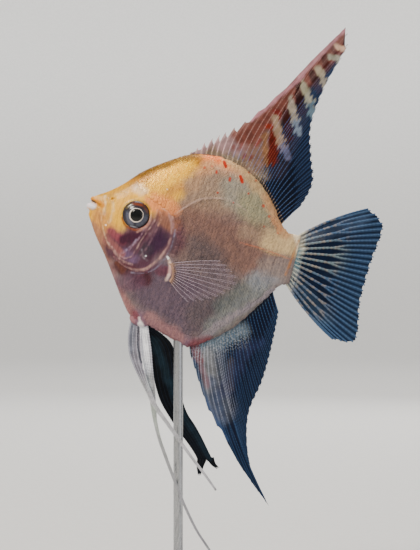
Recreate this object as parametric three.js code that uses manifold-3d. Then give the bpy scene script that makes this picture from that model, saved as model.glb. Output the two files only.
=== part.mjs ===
// A marble angelfish, Pterophyllum scalare, as a still, life-size model on a plain display stand.
// Millimetres, +Z up. The fish faces -X and its right side faces +Y.
// The origin is the middle of the underside of the stand's base.
import * as THREE from "three";
import { mergeVertices } from "three/addons/utils/BufferGeometryUtils.js";
import Module from "manifold-3d";

const wasm = await Module();
wasm.setup();

// ---- Driving sizes --------------------------------------------------------------------------
// The fish has a frame of its own: s runs from the snout to the tail, h up its back, y to its right.
const HEAD_UP = 14.5; // degrees that the snout is raised
const SNOUT_X = -41; // where the snout is over the base
const SNOUT_Z = 131;
const GAP = 0.3; // room between pieces that meet

const STALK_END = 70.7; // snout to the end of the tail stalk: the standard length
const HEAD_START = 1.9; // the head begins behind the lips
const NOSE_ROUND = 0.7;
const NOSE_SHARE = 0.72;
const BODY_RINGS = 40;
const RING_CROWDING = 1.1; // over 1, the rings stand closer together at the snout
const FLANK_POINTS = 14; // points of a body ring on one side
const FLANK_ROUNDNESS = 1.2; // 1 is an ellipse, more makes a sharper back and belly

const BACK_EDGE = [
  [0.3, 2.8],
  [2, 4.2],
  [6, 6.9],
  [10, 10.4],
  [15, 15.8],
  [21, 20.5],
  [28.6, 25.2],
  [33, 26.4],
  [39.3, 27],
  [46.6, 25.6],
  [52.9, 22.5],
  [58.4, 17.7],
  [64.5, 10.2],
  [67.5, 8.1],
  [71, 8.3],
];
const BELLY_EDGE = [
  [0.3, -1.8],
  [2, -4],
  [5, -8.6],
  [10, -14.8],
  [15, -21.7],
  [19, -27.2],
  [23.1, -31.8],
  [30.3, -33.6],
  [37.4, -35.6],
  [41.5, -36.7],
  [44.7, -37],
  [49.6, -33.9],
  [57, -27.3],
  [64.3, -16.6],
  [68.1, -10.4],
  [71, -8.6],
];
const HALF_WIDTH = [
  [0, 1],
  [2.3, 2],
  [5, 3.2],
  [10, 4.6],
  [17, 5.9],
  [24, 6.8],
  [31, 7.1],
  [38, 6.8],
  [46, 5.7],
  [54, 4.3],
  [61, 3],
  [66, 2.2],
  [71, 1.7],
];
const WIDEST_LEVEL = [
  [0, 0.8],
  [8, -1.5],
  [20, -4.5],
  [32, -6],
  [45, -4],
  [58, -1],
  [71, -0.3],
];
// Half of the flat that the back and the belly end in, where the fins stand.
const BACK_FLAT = [
  [0, 0.8],
  [20, 0.6],
  [62, 0.6],
  [71, 0.9],
];
const BELLY_FLAT = [
  [0, 0.8],
  [14, 1.1],
  [23, 2.3],
  [31, 2.1],
  [40, 1.1],
  [45, 0.6],
  [64, 0.6],
  [71, 0.9],
];

const HEAD_REAR = [
  [16.2, 24],
  [19.2, 14.5],
  [24.6, 7.4],
  [29.3, 1.2],
  [31, -5],
  [30.8, -10],
  [28.9, -14],
  [25, -16.8],
  [20, -18.6],
  [16, -21.4],
  [12.5, -25.5],
];
const TRUNK_REAR = [
  [65, 16],
  [65.6, 0],
  [68.3, -16],
];
const GILL_COVER_FRONT = [
  [27.8, 4.4],
  [24.2, 3.6],
  [22.2, -1.2],
  [18.6, -7.4],
  [15.6, -12.6],
  [15.8, -16.6],
  [18.4, -18.6],
];
const GILL_COVER_BEHIND = 34; // the cutting block ends here, behind the head
const GILL_COVER_RAISED = 0.25;
const GILL_COVER_DEPTH = 1.1; // below the skin of the cheek
const GILL_COVER_FROM_MIDDLE = 0.5;

// Blocks that divide the body reach from here to here, outside it on all sides.
const CUT_HALF_WIDTH = 20;
const BEFORE_HEAD = [
  [-5, -30],
  [-5, 30],
];
const BELOW_TRUNK = [
  [14, -45],
  [72, -45],
];
const ABOVE_TRUNK = [
  [65, 40],
  [18, 40],
];
const BEHIND_TAIL = [
  [75, -16],
  [75, 16],
];

const EYE_PLACE = new THREE.Vector3(17, 4.5, 1.1);
const EYE = { radius: 4.9, halfDepth: 2.3, around: 24, down: 10 };
const NOSTRIL_AT = [7.8, 4.4];
const NOSTRIL = { radius: 0.6, halfDepth: 0.6, around: 10, down: 6 };

const UPPER_LIP = {
  front: [1.4, 2.85],
  corner: [4.7, 1.3],
  halfGape: 2.4,
  radius: 0.95,
  cornerRadius: 0.5,
};
const LOWER_LIP = {
  front: [0.95, 0.05],
  corner: [3.8, 0],
  halfGape: 2.1,
  radius: 1.3,
  cornerRadius: 0.5,
};
const LIP_STEPS = 16;
const LIP_SIDES = 8;

const RAY_HALF = 0.45; // half thickness of a fin ray near its root
const RAY_TIP_HALF = 0.28;
const MEMBRANE_HALF = 0.26;
const MEMBRANE_TIP_HALF = 0.2;
const DEEPEST_NOTCH = 0.3; // as a share of the ray beside it

const DORSAL = {
  rays: 32,
  rows: 8,
  from: 28.8,
  to: 64.2,
  longest: 0.47, // share of the base in front of the longest ray
  front: [
    [28.6, 25.2],
    [33, 30.7],
    [39.2, 36.1],
    [44.7, 41.3],
    [50.4, 49.2],
    [54.6, 55],
    [60, 64.9],
    [68.5, 79.1],
  ],
  rear: [
    [68.5, 79.1],
    [70.6, 74.4],
    [67, 59.3],
    [65.7, 45],
    [68.4, 35.1],
    [71.1, 26.6],
    [69, 17.9],
    [64.8, 9.6],
  ],
  frontStart: 0.05,
  frontPower: 1.8,
  rearReach: 0.87,
  rearPower: 0.8,
  bend: 0.02, // bow of the longest ray, as a share of its length
  spines: 12,
  spineNotch: 2,
  notch: 1.1, // how far the membrane stays behind the tips of the soft rays
  rootHalfAt: 28.8, // where on the body its root takes its thickness from
  sway: 1.6, // how far it waves to either side
  waves: 1.2, // from its front to its rear
};
const ANAL = {
  rays: 28,
  rows: 8,
  from: 45.1,
  to: 66.9,
  longest: 0.27,
  front: [
    [45, -38],
    [49.1, -44.7],
    [52.7, -50.4],
    [57.2, -56.9],
    [64.1, -63.7],
    [71.7, -71.5],
    [83.7, -81.6],
  ],
  rear: [
    [83.7, -81.6],
    [75.1, -71.4],
    [71, -61.5],
    [69.6, -53],
    [71.3, -41.7],
    [71.3, -27],
    [70.1, -15.6],
    [67.4, -9.8],
  ],
  frontStart: 0.08,
  frontPower: 1.2,
  rearReach: 0.88,
  rearPower: 0.6,
  bend: -0.12,
  spines: 6,
  spineNotch: 1.8,
  notch: 1.1,
  rootHalfAt: 49.1,
  sway: -1.8,
  waves: 1.2,
};
const CAUDAL = {
  rays: 16,
  rows: 7,
  rootInset: 0.3, // from the upper and lower edges of the tail stalk
  rootHalf: 0.9,
  edge: [
    [91, 22.6],
    [94.6, 21],
    [97.3, 18.3],
    [96.6, 5],
    [96.3, -8],
    [97.5, -21.3],
    [90.4, -22.5],
  ],
  notch: 1.2,
  bend: 0.1, // bow of the uppermost ray, as a share of its length
  sway: 1.2,
  waves: 0.8,
};
const PECTORAL = {
  rays: 11,
  rows: 6,
  rootHalf: 0.6,
  rootTop: [31.9, -11.6],
  rootBottom: [33, -17.2],
  edge: [
    [47.5, -6.6],
    [51.2, -8.4],
    [54.7, -11.7],
    [51.7, -16.4],
    [45.8, -20.4],
    [40.5, -22.4],
  ],
  flare: 0.38, // how far it stands out for each millimetre of length
  bend: 0.04,
  notch: 0.7,
};

// Each pelvic blade has a front and a rear edge that run together into a filament.
// A row holds: s and h of the front edge, s and h of the rear edge, y of the blade.
// The first row of a blade that grows from the belly takes its h from the belly.
const PELVIC_ROOT_HALF = 0.6;
const PELVIC_OUTER_BLADE = [
  [23.9, 0, 26.9, 0, -1.35],
  [24.4, -38.1, 28.2, -37.4, -1.9],
  [25.8, -42.9, 29.6, -42.2, -2.5],
  [27.6, -46.1, 31.8, -47.3, -3],
  [31.2, -50.6, 33.9, -51.1, -3.5],
  [34.9, -54.9, 36.3, -54.5, -4],
  [38, -58.7, 39.2, -58.2, -4.4],
  [43.4, -63.1, 44.1, -62.5, -4.9],
  [49.4, -68.1, 50, -67.5, -5.5],
  [54.7, -72.4, 55.2, -71.9, -6],
  [60.1, -76.6, 60.6, -76.1, -6.5],
  [65, -80.6, 65.4, -80.2, -7],
];
const PELVIC_INNER_BLADE = [
  [26.1, 0, 29.4, 0, -1.35],
  [27.9, -37.2, 30.9, -37, -1.45],
  [29.8, -41.9, 32.7, -41.3, -1.6],
  [32, -46.5, 34.3, -46, -1.8],
  [34.1, -51.2, 36, -50.6, -2],
  [36.2, -55.8, 37.5, -54.8, -2.2],
  [37.8, -60, 39.1, -59.6, -2.4],
  [39.5, -63.6, 40.4, -63.4, -2.5],
  [42.8, -69.6, 43.5, -69.3, -2.6],
  [46.1, -74.5, 46.8, -74.2, -2.7],
  [50.2, -80.3, 50.8, -80, -2.8],
  [53.9, -85.3, 54.4, -85, -2.9],
  [57.4, -89.9, 57.9, -89.5, -3],
  [62.3, -95.5, 62.7, -95.1, -3.1],
  [67.8, -100.5, 68.1, -100, -3.2],
  [72.5, -104.9, 72.7, -104.5, -3.3],
];
const PELVIC_FAR_BLADE = [
  [24, 0, 29.2, 0, 1.35],
  [27.4, -36.3, 34.6, -35.9, 2.3],
  [31.2, -40.8, 38.7, -37.8, 3.4],
  [34.4, -46.3, 41.5, -43.2, 5],
  [37.1, -52.3, 44.1, -50, 6.8],
  [40.2, -57.4, 46.7, -55, 8.6],
  [44.3, -61.8, 49.8, -59.4, 10.2],
  [48.6, -65.8, 53.2, -62.6, 11.6],
  [52.8, -69.3, 56.4, -66, 12.6],
  [56.2, -72.6, 59.6, -69.8, 13.4],
  [57.6, -74.6, 62.3, -72.9, 13.9],
];
const PELVIC_FAR_FRONT_LOBE = [
  [57, -73.4, 59.8, -73, 13.7],
  [57.5, -76.2, 59.5, -75.8, 14.1],
  [58.6, -78.9, 59.3, -78.7, 14.4],
];
const PELVIC_FAR_REAR_LOBE = [
  [60, -72.4, 62, -71.6, 13.7],
  [62, -74.2, 63.2, -73.5, 14.1],
  [64.2, -75.2, 64.8, -74.6, 14.5],
];

const BASE = { length: 116, width: 60, height: 8, corner: 6, bevel: 1 };
const ROD_RADIUS = 1.6;
const ROD_X = -10.6;
const ROD_SINKS_IN = 5; // how far the rod goes up into the belly
const ROD_SOCKET_LENGTH = 40; // far enough down to leave the belly

// ---- Small tools ----------------------------------------------------------------------------

/** A smooth function through the points, which go up in their first number. */
function smoothLine(points) {
  const slopes = points.map((_, i) => {
    const before = points[Math.max(i - 1, 0)];
    const after = points[Math.min(i + 1, points.length - 1)];
    return (after[1] - before[1]) / (after[0] - before[0]);
  });
  return (x) => {
    let i = 0;
    while (i < points.length - 2 && x > points[i + 1][0]) i += 1;
    const span = points[i + 1][0] - points[i][0];
    const t = THREE.MathUtils.clamp((x - points[i][0]) / span, 0, 1);
    const rise = points[i + 1][1] - points[i][1];
    const ease = t * t * (3 - 2 * t);
    const leave = t * (1 - t) * (1 - t) * slopes[i] * span;
    const arrive = t * t * (1 - t) * slopes[i + 1] * span;
    return points[i][1] + rise * ease + leave - arrive;
  };
}

/** A smooth curve in the fish's middle plane through points of s and h. */
function curveThrough(points) {
  const places = points.map(([s, h]) => new THREE.Vector3(s, 0, h));
  return new THREE.CatmullRomCurve3(places, false, "centripetal");
}

/** Points of s and h along a smooth line through a few of them. */
function smoothed(points, steps) {
  return curveThrough(points).getPoints(steps).map((p) => [p.x, p.z]);
}

/** A closed geometry from points and triangles, turned so that its faces point outwards. */
function closedGeometry(points, triangles) {
  let volume = 0;
  for (const [a, b, c] of triangles) {
    volume += points[a].dot(new THREE.Vector3().crossVectors(points[b], points[c]));
  }
  const faces = volume < 0 ? triangles.map(([a, b, c]) => [a, c, b]) : triangles;
  const geometry = new THREE.BufferGeometry().setFromPoints(points);
  geometry.setIndex(faces.flat());
  return geometry;
}

/** A closed skin over rings that all have the same number of points, with a fan over each end. */
function skinOver(rings) {
  const count = rings[0].length;
  const points = rings.flat();
  const triangles = [];
  for (let r = 0; r + 1 < rings.length; r += 1) {
    for (let i = 0; i < count; i += 1) {
      const a = r * count + i;
      const b = r * count + ((i + 1) % count);
      triangles.push([a, b, b + count], [a, b + count, a + count]);
    }
  }
  for (const [r, turned] of [[0, true], [rings.length - 1, false]]) {
    const middle = new THREE.Vector3();
    rings[r].forEach((p) => middle.addScaledVector(p, 1 / count));
    points.push(middle);
    for (let i = 0; i < count; i += 1) {
      const a = r * count + i;
      const b = r * count + ((i + 1) % count);
      triangles.push(turned ? [b, a, points.length - 1] : [a, b, points.length - 1]);
    }
  }
  return closedGeometry(points, triangles);
}

/**
 * A closed sheet over a grid, with both faces split into triangles alike.
 * place(column, row) gives a point of its middle and half(column, row) half its thickness along y.
 */
function sheet(columns, rows, place, half) {
  const points = [];
  for (const side of [-1, 1]) {
    for (let c = 0; c < columns; c += 1) {
      for (let r = 0; r < rows; r += 1) {
        const point = place(c, r);
        point.y += side * half(c, r);
        points.push(point);
      }
    }
  }
  const near = (c, r) => c * rows + r;
  const far = (c, r) => near(c, r) + columns * rows;
  const triangles = [];
  for (let c = 0; c + 1 < columns; c += 1) {
    for (let r = 0; r + 1 < rows; r += 1) {
      const [a, b, d, e] = [near(c, r), near(c + 1, r), near(c + 1, r + 1), near(c, r + 1)];
      triangles.push([a, b, d], [a, d, e]);
      const [p, q, t, u] = [far(c, r), far(c + 1, r), far(c + 1, r + 1), far(c, r + 1)];
      triangles.push([p, t, q], [p, u, t]);
    }
  }
  const rim = [];
  for (let c = 0; c < columns; c += 1) rim.push([c, 0]);
  for (let r = 1; r < rows; r += 1) rim.push([columns - 1, r]);
  for (let c = columns - 2; c >= 0; c -= 1) rim.push([c, rows - 1]);
  for (let r = rows - 2; r > 0; r -= 1) rim.push([0, r]);
  rim.forEach(([c, r], i) => {
    const [d, q] = rim[(i + 1) % rim.length];
    triangles.push([near(c, r), far(d, q), near(d, q)], [near(c, r), far(c, r), far(d, q)]);
  });
  return closedGeometry(points, triangles);
}

/** A closed geometry as a solid that can be joined and cut. */
function solidOf(geometry) {
  const bare = new THREE.BufferGeometry().setAttribute("position", geometry.getAttribute("position"));
  bare.setIndex(geometry.getIndex());
  const merged = mergeVertices(bare, 1e-4);
  const solid = new wasm.Mesh({
    numProp: 3,
    vertProperties: new Float32Array(merged.getAttribute("position").array),
    triVerts: new Uint32Array(merged.getIndex().array),
  });
  return new wasm.Manifold(solid);
}

/** The largest closed surface of a solid, as a geometry. */
function geometryOf(solid) {
  const bodies = solid.decompose();
  const largest = bodies.reduce((best, body) => (body.volume() > best.volume() ? body : best));
  const mesh = largest.getMesh();
  const positions = new Float32Array(mesh.numVert * 3);
  for (let i = 0; i < mesh.numVert; i += 1) {
    positions.set(mesh.vertProperties.subarray(i * mesh.numProp, i * mesh.numProp + 3), i * 3);
  }
  const geometry = new THREE.BufferGeometry();
  geometry.setAttribute("position", new THREE.BufferAttribute(positions, 3));
  geometry.setIndex(new THREE.BufferAttribute(new Uint32Array(mesh.triVerts), 1));
  return geometry;
}

/** A block with the given outline in s and h, right through the fish or from one y to another. */
function block(outline, yFrom = -CUT_HALF_WIDTH, yTo = CUT_HALF_WIDTH) {
  const shape = new THREE.Shape(outline.map(([s, h]) => new THREE.Vector2(s, h)));
  const geometry = new THREE.ExtrudeGeometry(shape, { depth: yTo - yFrom, bevelEnabled: false });
  geometry.rotateX(Math.PI / 2);
  geometry.translate(0, yTo, 0);
  return solidOf(geometry);
}

/** The points of a line, moved sideways in its own plane. */
function movedSideways(points, distance) {
  return points.map((_, i) => {
    const [s0, h0] = points[Math.max(i - 1, 0)];
    const [s1, h1] = points[Math.min(i + 1, points.length - 1)];
    const length = Math.hypot(s1 - s0, h1 - h0);
    const [s, h] = points[i];
    return [s - ((h1 - h0) / length) * distance, h + ((s1 - s0) / length) * distance];
  });
}

/** A named mesh with its finish. */
function piece(name, geometry, color, roughness = 0.45, metalness = 0) {
  geometry.computeVertexNormals();
  const mesh = new THREE.Mesh(geometry, new THREE.MeshStandardMaterial({ color, roughness, metalness }));
  mesh.name = name;
  return mesh;
}

// ---- The body -------------------------------------------------------------------------------
const backEdge = smoothLine(BACK_EDGE);
const bellyEdge = smoothLine(BELLY_EDGE);
const halfWidth = smoothLine(HALF_WIDTH);
const widestLevel = smoothLine(WIDEST_LEVEL);
const backFlat = smoothLine(BACK_FLAT);
const bellyFlat = smoothLine(BELLY_FLAT);

/** Half the body's width at one place, where rise goes from -1 at the belly to 1 at the back. */
function sectionHalf(s, rise) {
  const flat = rise > 0 ? backFlat(s) : bellyFlat(s);
  const fullness = Math.pow(Math.sqrt(Math.max(1 - rise * rise, 0)), FLANK_ROUNDNESS);
  return flat + (halfWidth(s) - flat) * fullness;
}

/** Half the body's width at a place given by s and h. */
function flankAt(s, h) {
  const level = widestLevel(s);
  const edge = h > level ? backEdge(s) : bellyEdge(s);
  const rise = Math.min((h - level) / (edge - level), 1);
  return sectionHalf(s, h > level ? rise : -rise);
}

/** The points round the body at one distance from the snout. */
function bodyRing(s, grow) {
  const left = [];
  for (let j = 0; j < FLANK_POINTS; j += 1) {
    const rise = Math.cos((Math.PI * j) / (FLANK_POINTS - 1));
    const edge = rise > 0 ? backEdge(s) : bellyEdge(s);
    const h = widestLevel(s) + Math.abs(rise) * (edge - widestLevel(s));
    left.push(new THREE.Vector3(s, -Math.max(sectionHalf(s, rise) + grow, 0.1), h));
  }
  const right = left.map((p) => new THREE.Vector3(p.x, -p.y, p.z)).reverse();
  return [...left, ...right];
}

/** A smaller ring in front of the first one, which rounds the front of the head. */
function noseRing(grow) {
  const level = widestLevel(HEAD_START);
  return bodyRing(HEAD_START, grow).map((p) => {
    return new THREE.Vector3(p.x - NOSE_ROUND, p.y * NOSE_SHARE, level + (p.z - level) * NOSE_SHARE);
  });
}

/** The whole body without lips, eyes and fins, made wider on each side by grow. */
function bodySolid(grow) {
  const rings = [noseRing(grow)];
  for (let i = 0; i <= BODY_RINGS; i += 1) {
    const share = Math.pow(i / BODY_RINGS, RING_CROWDING);
    rings.push(bodyRing(HEAD_START + (STALK_END - HEAD_START) * share, grow));
  }
  return solidOf(skinOver(rings));
}

const gillFront = smoothed(GILL_COVER_FRONT, 14);
const headRear = smoothed(HEAD_REAR, 30);
const trunkFront = movedSideways(headRear, GAP);
const headRegion = block([...headRear, ...BEFORE_HEAD]);
const trunkRegion = block([...trunkFront, ...BELOW_TRUNK, ...TRUNK_REAR.toReversed(), ...ABOVE_TRUNK]);
const tailRegion = block([...movedSideways(TRUNK_REAR, GAP), ...BEHIND_TAIL]);

const wholeBody = bodySolid(0);

/** A ball squashed along y, at a place on one side of the fish, made larger all round by grow. */
function squashedBall(place, side, { radius, halfDepth, around, down }, grow = 0) {
  const geometry = new THREE.SphereGeometry(1, around, down);
  geometry.scale(radius + grow, halfDepth + grow, radius + grow);
  geometry.translate(place.x, side * place.y, place.z);
  return geometry;
}

/** A lip: a roll that bends round the snout from one corner of the mouth to the other. */
function lip({ front, corner, halfGape, radius, cornerRadius }, grow) {
  const rings = [];
  for (let i = 0; i <= LIP_STEPS; i += 1) {
    const angle = Math.PI * (i / LIP_STEPS - 0.5);
    const back = 1 - Math.cos(angle);
    const middle = new THREE.Vector3(
      front[0] + (corner[0] - front[0]) * back,
      halfGape * Math.sin(angle),
      front[1] + (corner[1] - front[1]) * back,
    );
    const outward = new THREE.Vector3(-Math.cos(angle), Math.sin(angle), 0);
    const fullness = Math.sqrt(Math.max(Math.cos(angle), 0));
    const thick = cornerRadius + (radius - cornerRadius) * fullness + grow;
    const ring = [];
    for (let j = 0; j < LIP_SIDES; j += 1) {
      const turn = (2 * Math.PI * j) / LIP_SIDES;
      const point = middle.clone().addScaledVector(outward, thick * Math.cos(turn));
      point.z += thick * Math.sin(turn);
      ring.push(point);
    }
    rings.push(ring);
  }
  return skinOver(rings);
}

/** The part of one side of the head, -1 left, 1 right, behind the gill cover's front edge. */
function gillRegion(side, forwards) {
  const edge = movedSideways(gillFront, -forwards);
  const outline = [...edge, [GILL_COVER_BEHIND, edge.at(-1)[1]], [GILL_COVER_BEHIND, edge[0][1]]];
  if (side < 0) return block(outline, -CUT_HALF_WIDTH, -GILL_COVER_FROM_MIDDLE);
  return block(outline, GILL_COVER_FROM_MIDDLE, CUT_HALF_WIDTH);
}

/** The plate that covers the gills on one side. */
function gillCover(side) {
  const shell = bodySolid(GILL_COVER_RAISED).subtract(bodySolid(-GILL_COVER_DEPTH));
  return shell.intersect(gillRegion(side, 0)).intersect(headRegion);
}

/** The room in the head for one gill cover. */
function gillCoverRecess(side) {
  return gillRegion(side, GAP).subtract(bodySolid(-GILL_COVER_DEPTH - GAP));
}

/** The head, with room for the lips, the eyes and the gill covers, and two nostrils. */
function makeHead() {
  let head = wholeBody.intersect(headRegion);
  const [s, h] = NOSTRIL_AT;
  const nostrilPlace = new THREE.Vector3(s, flankAt(s, h), h);
  for (const side of [-1, 1]) {
    head = head.subtract(solidOf(squashedBall(EYE_PLACE, side, EYE, GAP)));
    head = head.subtract(solidOf(squashedBall(nostrilPlace, side, NOSTRIL)));
    head = head.subtract(gillCoverRecess(side));
  }
  for (const shape of [UPPER_LIP, LOWER_LIP]) head = head.subtract(solidOf(lip(shape, GAP)));
  return head;
}

// ---- Fins -----------------------------------------------------------------------------------

/** A point on a ray that bends from its root to its tip. */
function alongRay(root, tip, bend, t) {
  const ds = tip.x - root.x;
  const dh = tip.z - root.z;
  const pull = 2 * t * (1 - t) * bend;
  return new THREE.Vector3(root.x + ds * t - dh * pull, 0, root.z + dh * t + ds * pull);
}

/** Half the thickness of a fin: every second column is a ray, with thinner membrane between. */
function finHalf(column, share, rootHalf) {
  if (share === 0) return rootHalf;
  const isRay = column % 2 === 0;
  const [thick, thin] = isRay ? [RAY_HALF, RAY_TIP_HALF] : [MEMBRANE_HALF, MEMBRANE_TIP_HALF];
  return thick + (thin - thick) * share;
}

/** A fin on the edge of the back or the belly, whose rays rise to one longest ray and fall again. */
function edgeFin(fin, edge, upwards) {
  const columns = 2 * fin.rays - 1;
  const front = curveThrough(fin.front);
  const rear = curveThrough(fin.rear);
  const longest = 2 * Math.round((fin.longest * (columns - 1)) / 2);
  const rowsLast = fin.rows - 1;

  const rootOf = (column) => {
    const s = fin.from + ((fin.to - fin.from) * column) / (columns - 1);
    const slope = (edge(s + 0.1) - edge(s - 0.1)) / 0.2;
    const length = Math.hypot(1, slope);
    return new THREE.Vector3(s - (upwards * slope * GAP) / length, 0, edge(s) + (upwards * GAP) / length);
  };
  const tipOf = (column) => {
    if (column <= longest) {
      const share = Math.pow(column / longest, fin.frontPower);
      return front.getPointAt(fin.frontStart + (1 - fin.frontStart) * share);
    }
    const share = (column - longest) / (columns - 1 - longest);
    return rear.getPointAt(fin.rearReach * Math.pow(share, fin.rearPower));
  };
  const fullLength = rootOf(longest).distanceTo(tipOf(longest));
  const place = (column, row) => {
    const root = rootOf(column);
    const tip = tipOf(column);
    const length = root.distanceTo(tip);
    const notch = column < 2 * fin.spines ? fin.spineNotch : fin.notch;
    const reach = column % 2 === 0 ? 1 : 1 - Math.min(notch / length, DEEPEST_NOTCH);
    const t = (row / rowsLast) * reach;
    const point = alongRay(root, tip, (fin.bend * length) / fullLength, t);
    point.y = fin.sway * t * t * Math.sin((2 * Math.PI * fin.waves * column) / columns);
    return point;
  };
  const rootHalf = (upwards > 0 ? backFlat : bellyFlat)(fin.rootHalfAt);
  return sheet(columns, fin.rows, place, (column, row) => finHalf(column, row / rowsLast, rootHalf));
}

/** The tail fin, a fan of rays from the end of the stalk. */
function caudalFin() {
  const columns = 2 * CAUDAL.rays - 1;
  const rowsLast = CAUDAL.rows - 1;
  const edge = curveThrough(CAUDAL.edge);
  const rootTop = backEdge(STALK_END) - CAUDAL.rootInset;
  const rootBottom = bellyEdge(STALK_END) + CAUDAL.rootInset;
  const place = (column, row) => {
    const share = column / (columns - 1);
    const root = new THREE.Vector3(STALK_END + GAP, 0, rootTop + (rootBottom - rootTop) * share);
    const tip = edge.getPointAt(share);
    const reach = column % 2 === 0 ? 1 : 1 - CAUDAL.notch / root.distanceTo(tip);
    const t = (row / rowsLast) * reach;
    const point = alongRay(root, tip, CAUDAL.bend * (1 - 2 * share), t);
    point.y = CAUDAL.sway * t * t * Math.sin(2 * Math.PI * CAUDAL.waves * share);
    return point;
  };
  const half = (column, row) => finHalf(column, row / rowsLast, CAUDAL.rootHalf);
  return sheet(columns, CAUDAL.rows, place, half);
}

/** The fin behind a gill cover: -1 left, 1 right. */
function pectoralFin(side) {
  const columns = 2 * PECTORAL.rays - 1;
  const rowsLast = PECTORAL.rows - 1;
  const edge = curveThrough(PECTORAL.edge);
  const place = (column, row) => {
    const share = column / (columns - 1);
    const [topS, topH] = PECTORAL.rootTop;
    const [bottomS, bottomH] = PECTORAL.rootBottom;
    const root = new THREE.Vector3(topS + (bottomS - topS) * share, 0, topH + (bottomH - topH) * share);
    const tip = edge.getPointAt(share);
    const length = root.distanceTo(tip);
    const reach = column % 2 === 0 ? 1 : 1 - PECTORAL.notch / length;
    const t = (row / rowsLast) * reach;
    const point = alongRay(root, tip, PECTORAL.bend * (1 - 2 * share), t);
    const out = PECTORAL.flare * length * t;
    point.y = side * (flankAt(root.x, root.z) + GAP + PECTORAL.rootHalf + out);
    return point;
  };
  const half = (column, row) => finHalf(column, row / rowsLast, PECTORAL.rootHalf);
  return sheet(columns, PECTORAL.rows, place, half);
}

/** One blade of a pelvic fin, with a ray along each edge and one or more between. */
function pelvicBlade(stations, rays, onBelly) {
  const columns = 2 * rays - 1;
  const place = (column, row) => {
    const [frontS, frontH, rearS, rearH, y] = stations[row];
    const share = column / (columns - 1);
    const s = frontS + (rearS - frontS) * share;
    const h = onBelly && row === 0 ? bellyEdge(s) - GAP : frontH + (rearH - frontH) * share;
    return new THREE.Vector3(s, y, h);
  };
  const last = stations.length - 1;
  const rootHalf = onBelly ? PELVIC_ROOT_HALF : RAY_HALF;
  const half = (column, row) => finHalf(column, row / last, rootHalf);
  return solidOf(sheet(columns, stations.length, place, half));
}

/** The near pelvic fin: two blades that cross. */
function leftPelvicFin() {
  return pelvicBlade(PELVIC_OUTER_BLADE, 3, true).add(pelvicBlade(PELVIC_INNER_BLADE, 3, true));
}

/** The far pelvic fin: one broad blade that ends in two tips. */
function rightPelvicFin() {
  const frontLobe = pelvicBlade(PELVIC_FAR_FRONT_LOBE, 3, false);
  const rearLobe = pelvicBlade(PELVIC_FAR_REAR_LOBE, 3, false);
  return pelvicBlade(PELVIC_FAR_BLADE, 5, true).add(frontLobe).add(rearLobe);
}

// ---- The stand ------------------------------------------------------------------------------

/** The stand's base: a slab with round corners and a small bevel. */
function standBase() {
  const x = BASE.length / 2 - BASE.bevel;
  const y = BASE.width / 2 - BASE.bevel;
  const r = BASE.corner;
  const shape = new THREE.Shape();
  shape.moveTo(-x + r, -y);
  shape.lineTo(x - r, -y);
  shape.absarc(x - r, -y + r, r, -Math.PI / 2, 0);
  shape.absarc(x - r, y - r, r, 0, Math.PI / 2);
  shape.absarc(-x + r, y - r, r, Math.PI / 2, Math.PI);
  shape.absarc(-x + r, -y + r, r, Math.PI, 1.5 * Math.PI);
  const geometry = new THREE.ExtrudeGeometry(shape, {
    depth: BASE.height - 2 * BASE.bevel,
    bevelThickness: BASE.bevel,
    bevelSize: BASE.bevel,
    bevelSegments: 1,
    curveSegments: 5,
  });
  geometry.translate(0, 0, BASE.bevel);
  return geometry;
}

/** Height of the belly over the stand's rod, found in small steps towards the place above it. */
function bellyHeightAtRod() {
  const steps = 20;
  const pitch = THREE.MathUtils.degToRad(HEAD_UP);
  let s = ROD_X - SNOUT_X;
  for (let i = 0; i < steps; i += 1) {
    s = (ROD_X - SNOUT_X - bellyEdge(s) * Math.sin(pitch)) / Math.cos(pitch);
  }
  return SNOUT_Z - s * Math.sin(pitch) + bellyEdge(s) * Math.cos(pitch);
}

const rodTop = bellyHeightAtRod() + ROD_SINKS_IN;

/** An upright round bar over the base, in the stand's own frame. */
function uprightBar(radius, bottom, top) {
  const geometry = new THREE.CylinderGeometry(radius, radius, top - bottom, 20);
  geometry.rotateX(Math.PI / 2);
  geometry.translate(ROD_X, 0, (top + bottom) / 2);
  return geometry;
}

/** The trunk, with a socket for the rod. */
function makeTrunk(fishToStand) {
  const socket = uprightBar(ROD_RADIUS + GAP, rodTop - ROD_SOCKET_LENGTH, rodTop + GAP);
  socket.applyMatrix4(fishToStand.clone().invert());
  return wholeBody.intersect(trunkRegion).subtract(solidOf(socket));
}

// ---- Assembly -------------------------------------------------------------------------------
const model = new THREE.Group();

const fish = new THREE.Group();
fish.position.set(SNOUT_X, 0, SNOUT_Z);
fish.rotation.y = THREE.MathUtils.degToRad(HEAD_UP);
fish.updateMatrix();
model.add(fish);

fish.add(piece("head", geometryOf(makeHead()), 0xc9963f, 0.4));
fish.add(piece("trunk", geometryOf(makeTrunk(fish.matrix)), 0x8d8577, 0.4));
fish.add(piece("tail_stalk", geometryOf(wholeBody.intersect(tailRegion)), 0xb9ad93, 0.4));
fish.add(piece("upper_lip", lip(UPPER_LIP, 0), 0xd98a45, 0.4));
fish.add(piece("lower_lip", lip(LOWER_LIP, 0), 0xe6ded6, 0.4));
for (const [word, side] of [["left", -1], ["right", 1]]) {
  fish.add(piece("gill_cover_" + word, geometryOf(gillCover(side)), 0x9a7280, 0.35));
  const eye = squashedBall(EYE_PLACE, side, EYE);
  fish.add(piece("eye_" + word, geometryOf(solidOf(eye)), 0x5d6a78, 0.1));
  fish.add(piece("pectoral_fin_" + word, pectoralFin(side), 0xb3a7b4, 0.4));
}
fish.add(piece("dorsal_fin", edgeFin(DORSAL, backEdge, 1), 0x4b4f6a, 0.45));
fish.add(piece("anal_fin", edgeFin(ANAL, bellyEdge, -1), 0x6d6f8a, 0.45));
fish.add(piece("caudal_fin", caudalFin(), 0x5b6488, 0.45));
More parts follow.
